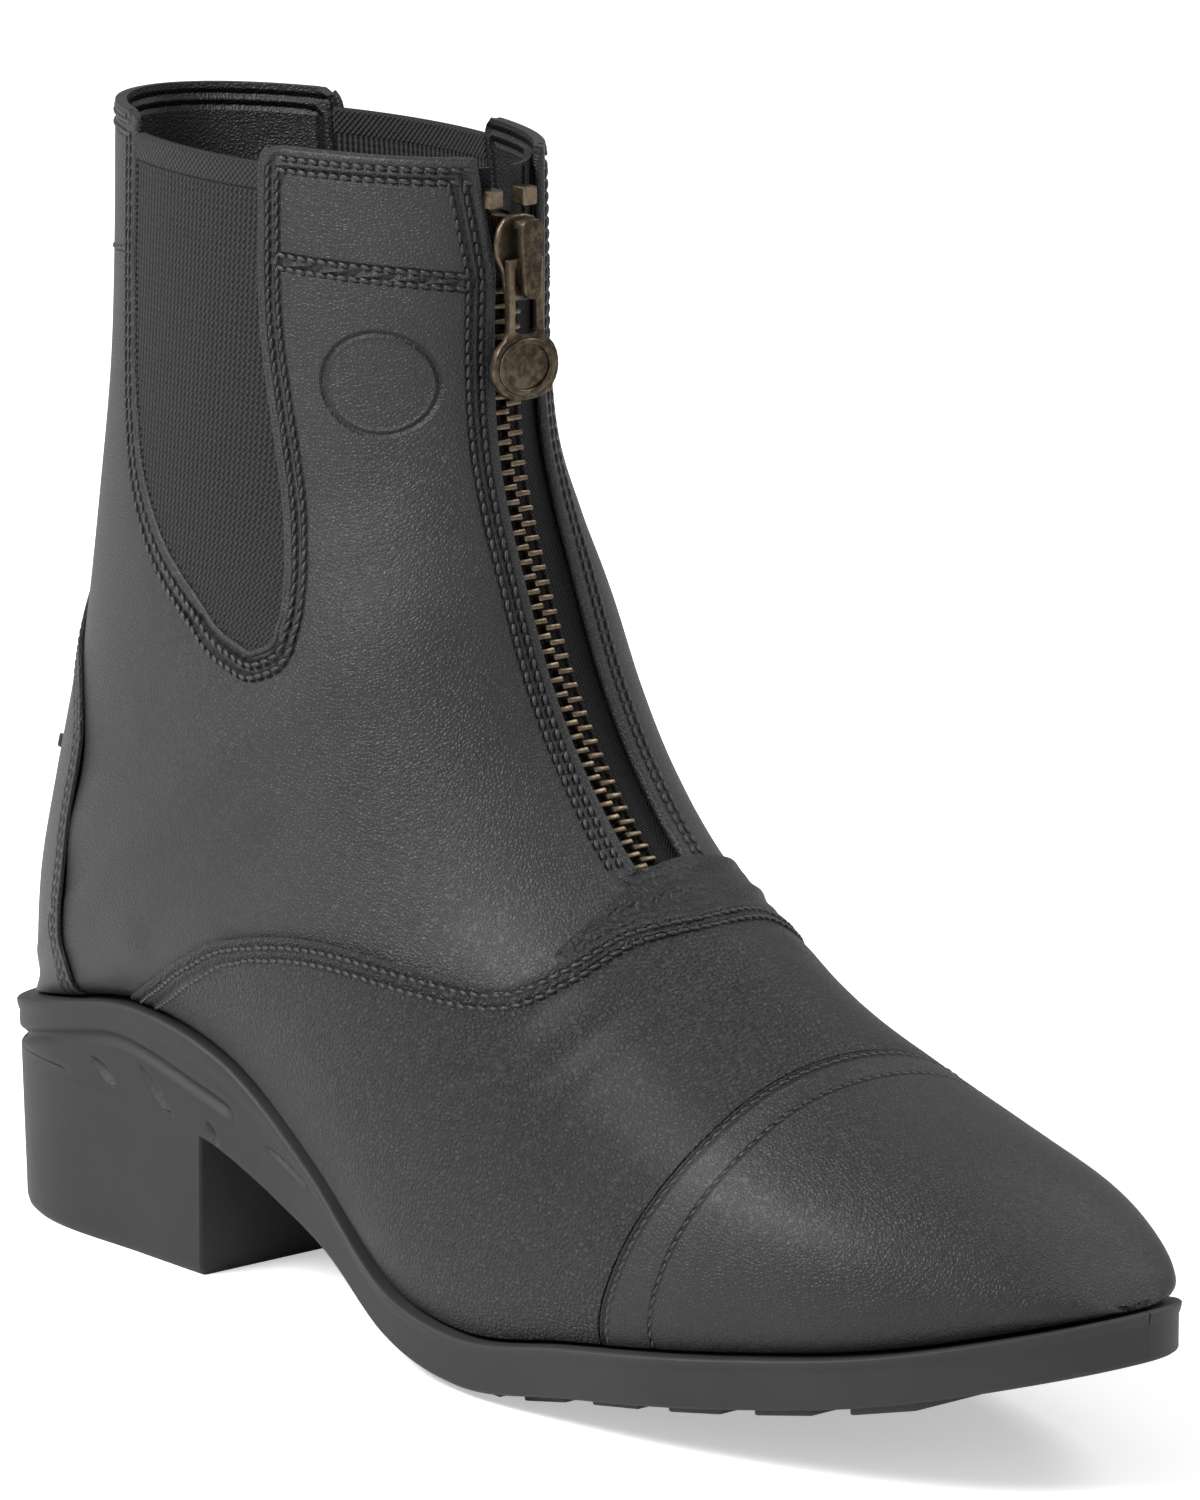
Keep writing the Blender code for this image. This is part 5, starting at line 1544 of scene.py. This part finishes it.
# The last four rings round off the breast: how far forward and how far in each one stands.
BREAST = [(0.0, 0.0), (0.0003, 0.0), (0.00055, 0.0003), (0.0006, 0.0009)]
heel_end = float(along_at(HEEL_BREAST))
heel_alongs = np.concatenate([np.linspace(0.004, 1, 50)[:-1] * heel_end, [heel_end] * len(BREAST)])
heel_rings = []
for number, along in enumerate(heel_alongs):
    late = number - (len(heel_alongs) - len(BREAST))
    ring = []
    for side, word in SIDES:
        half = []
        for inset, drop in HEEL_PROFILE:
            x, lateral, medial, centre = outline(along, inset + (BREAST[late][1] if late >= 0 else 0.0))
            top = float(sole_bottom(x)) + INTO_SOLE
            if late >= 0:
                x = HEEL_BREAST - 0.0006 + BREAST[late][0] - BREAST_LEAN * drop
            y = centre - lateral if side < 0 else centre + medial
            half.append(place(x, y, top * (1 - drop)))
        ring += half if side < 0 else half[::-1]
    heel_rings.append(np.array(ring))
moulded("heel_block", heel_rings, len(heel_rings), 40)

# %% Tread bars under the ball and toe
BARS, BARS_START, BARS_END, BAR_SHARE, BAR_IN, BAR_ROOT = 7, 0.505, 0.935, 0.62, 0.0050, 0.0008
pitch = (BARS_END - BARS_START) / BARS
for k in range(BARS):
    corners = []
    for share in (BARS_START + pitch * k, BARS_START + pitch * (k + BAR_SHARE)):
        x = SOLE_LENGTH * share
        _, lateral, medial, centre = outline(along_at(x), BAR_IN)
        bottom = float(sole_bottom(x))
        corners.append((x, float(centre - lateral), float(centre + medial), max(0.0, bottom - LUG),
                        bottom + BAR_ROOT))
    if min(corner[4] for corner in corners) - BAR_ROOT < LUG:
        corners = [(x, near, far, 0.0, high) for x, near, far, low, high in corners]
    bar_points = [place(x, y, z) for x, near, far, low, high in corners
                  for y, z in ((near, low), (far, low), (far, high), (near, high))]
    bar = from_lists("tread_bar_%d" % (k + 1), [np.array(bar_points)],
                     [(0, 1, 2, 3), (7, 6, 5, 4), (0, 4, 5, 1), (1, 5, 6, 2), (2, 6, 7, 3), (3, 7, 4, 0)])
    edit_all(bar, normals_out)
    round_edges(bar, 0.0004)
    dress(bar, RUBBER, slot="rubber")
    soft_shade(bar, 40)

# %% [markdown]
# ## Foot bed
# Inside lies a soft foot bed. It is seen only from above, through the collar, as a dark
# woven surface that dips a little in the middle.

# %% Foot bed
BED_HIGH, BED_DIP, BED_THICK = 0.0038, 0.0012, 0.0025
bed_in = RIM + WALL + 4 * GAP + 0.0006
bed_alongs, across = np.linspace(0.03, 0.97, 90), np.linspace(-1, 1, 17)
bed_points = []
for along in bed_alongs:
    x, lateral, medial, centre = outline(along, bed_in)
    y = np.where(across < 0, centre + lateral * across, centre + medial * across)
    bed_points.append(place(x, y, rim(x) + BED_HIGH - BED_DIP * (1 - across ** 2)))
bed_wide = len(across)
bed = from_lists("foot_bed_cloth", bed_points,
                 [(i * bed_wide + j, (i + 1) * bed_wide + j, (i + 1) * bed_wide + j + 1, i * bed_wide + j + 1)
                  for i in range(len(bed_alongs) - 1) for j in range(bed_wide - 1)])
turn_out(bed, np.tile([0.0, 0.0, 1.0], (len(bed.data.vertices), 1)))
thicken(bed, BED_THICK)
dress(bed, BED_LOOK, slot="fabric", stands_for=("insole",))
soft_shade(bed, 50)

# %% [markdown]
# ## Floor, light and camera
# The boot stands on a plain white floor, which glows a little for the camera alone, so that
# it stays white behind black leather. One broad soft light comes from the upper left, with
# weaker ones on the right and behind, and the leather shows long soft highlights.

# %% Floor
nothing_selected()
bpy.ops.mesh.primitive_plane_add(size=8, location=(0, 0, 0))
floor = bpy.context.object
floor.name = "floor"
FLOOR_LOOK, tree, shader = new_look("white_floor", (0.90, 0.90, 0.90), 0.9)
shader.inputs["Emission Color"].default_value = (1.0, 1.0, 1.0, 1.0)
seen = tree.nodes.new("ShaderNodeLightPath")
tree.links.new(maths(tree, "MULTIPLY", seen.outputs["Is Camera Ray"], 0.45),
               shader.inputs["Emission Strength"])
floor.data.materials.append(FLOOR_LOOK)

# %% Camera at the photograph's angle
AZIMUTH, ELEVATION, FAR, LENS = radians(50.98), radians(13.29), 1.4514, 207.0
TARGET = Vector((0.01132, -MIDDLE, 0.10306))
away = Vector((sin(AZIMUTH) * cos(ELEVATION), -cos(AZIMUTH) * cos(ELEVATION), sin(ELEVATION)))
camera_data = bpy.data.cameras.new("camera")
camera_data.lens = LENS
camera_data.sensor_width = 36.0
camera_data.sensor_fit = "AUTO"
camera_data.clip_start = 0.05
camera = new_object("camera", camera_data)
camera.location = TARGET + away * FAR
camera.rotation_euler = away.to_track_quat("Z", "Y").to_euler()
bpy.context.scene.camera = camera


# %% Lights
def soft_light(name, at, size, power):
    aim = (0, 0, 0.08)
    data = bpy.data.lights.new(name, "AREA")
    data.shape = "RECTANGLE"
    data.size, data.size_y = size
    data.energy = power
    lamp = new_object(name, data)
    lamp.location = at
    lamp.rotation_euler = (Vector(at) - Vector(aim)).to_track_quat("Z", "Y").to_euler()


soft_light("key", (-0.45, -1.10, 1.35), (0.9, 0.7), 46.0)
soft_light("fill", (1.5, -0.35, 0.7), (0.9, 0.9), 4.0)
soft_light("back_light", (0.2, 1.3, 1.3), (1.2, 0.6), 12.0)
bpy.context.scene.view_settings.view_transform = "Standard"
world = bpy.data.worlds.new("studio")
bpy.context.scene.world = world
world.use_nodes = True
tree = world.node_tree
sky = tree.nodes["Background"]
sky.inputs["Color"].default_value = (1.0, 1.0, 1.0, 1.0)
seen = tree.nodes.new("ShaderNodeLightPath")
tree.links.new(maths(tree, "MULTIPLY_ADD", seen.outputs["Is Camera Ray"], 0.65, 0.4), sky.inputs["Strength"])
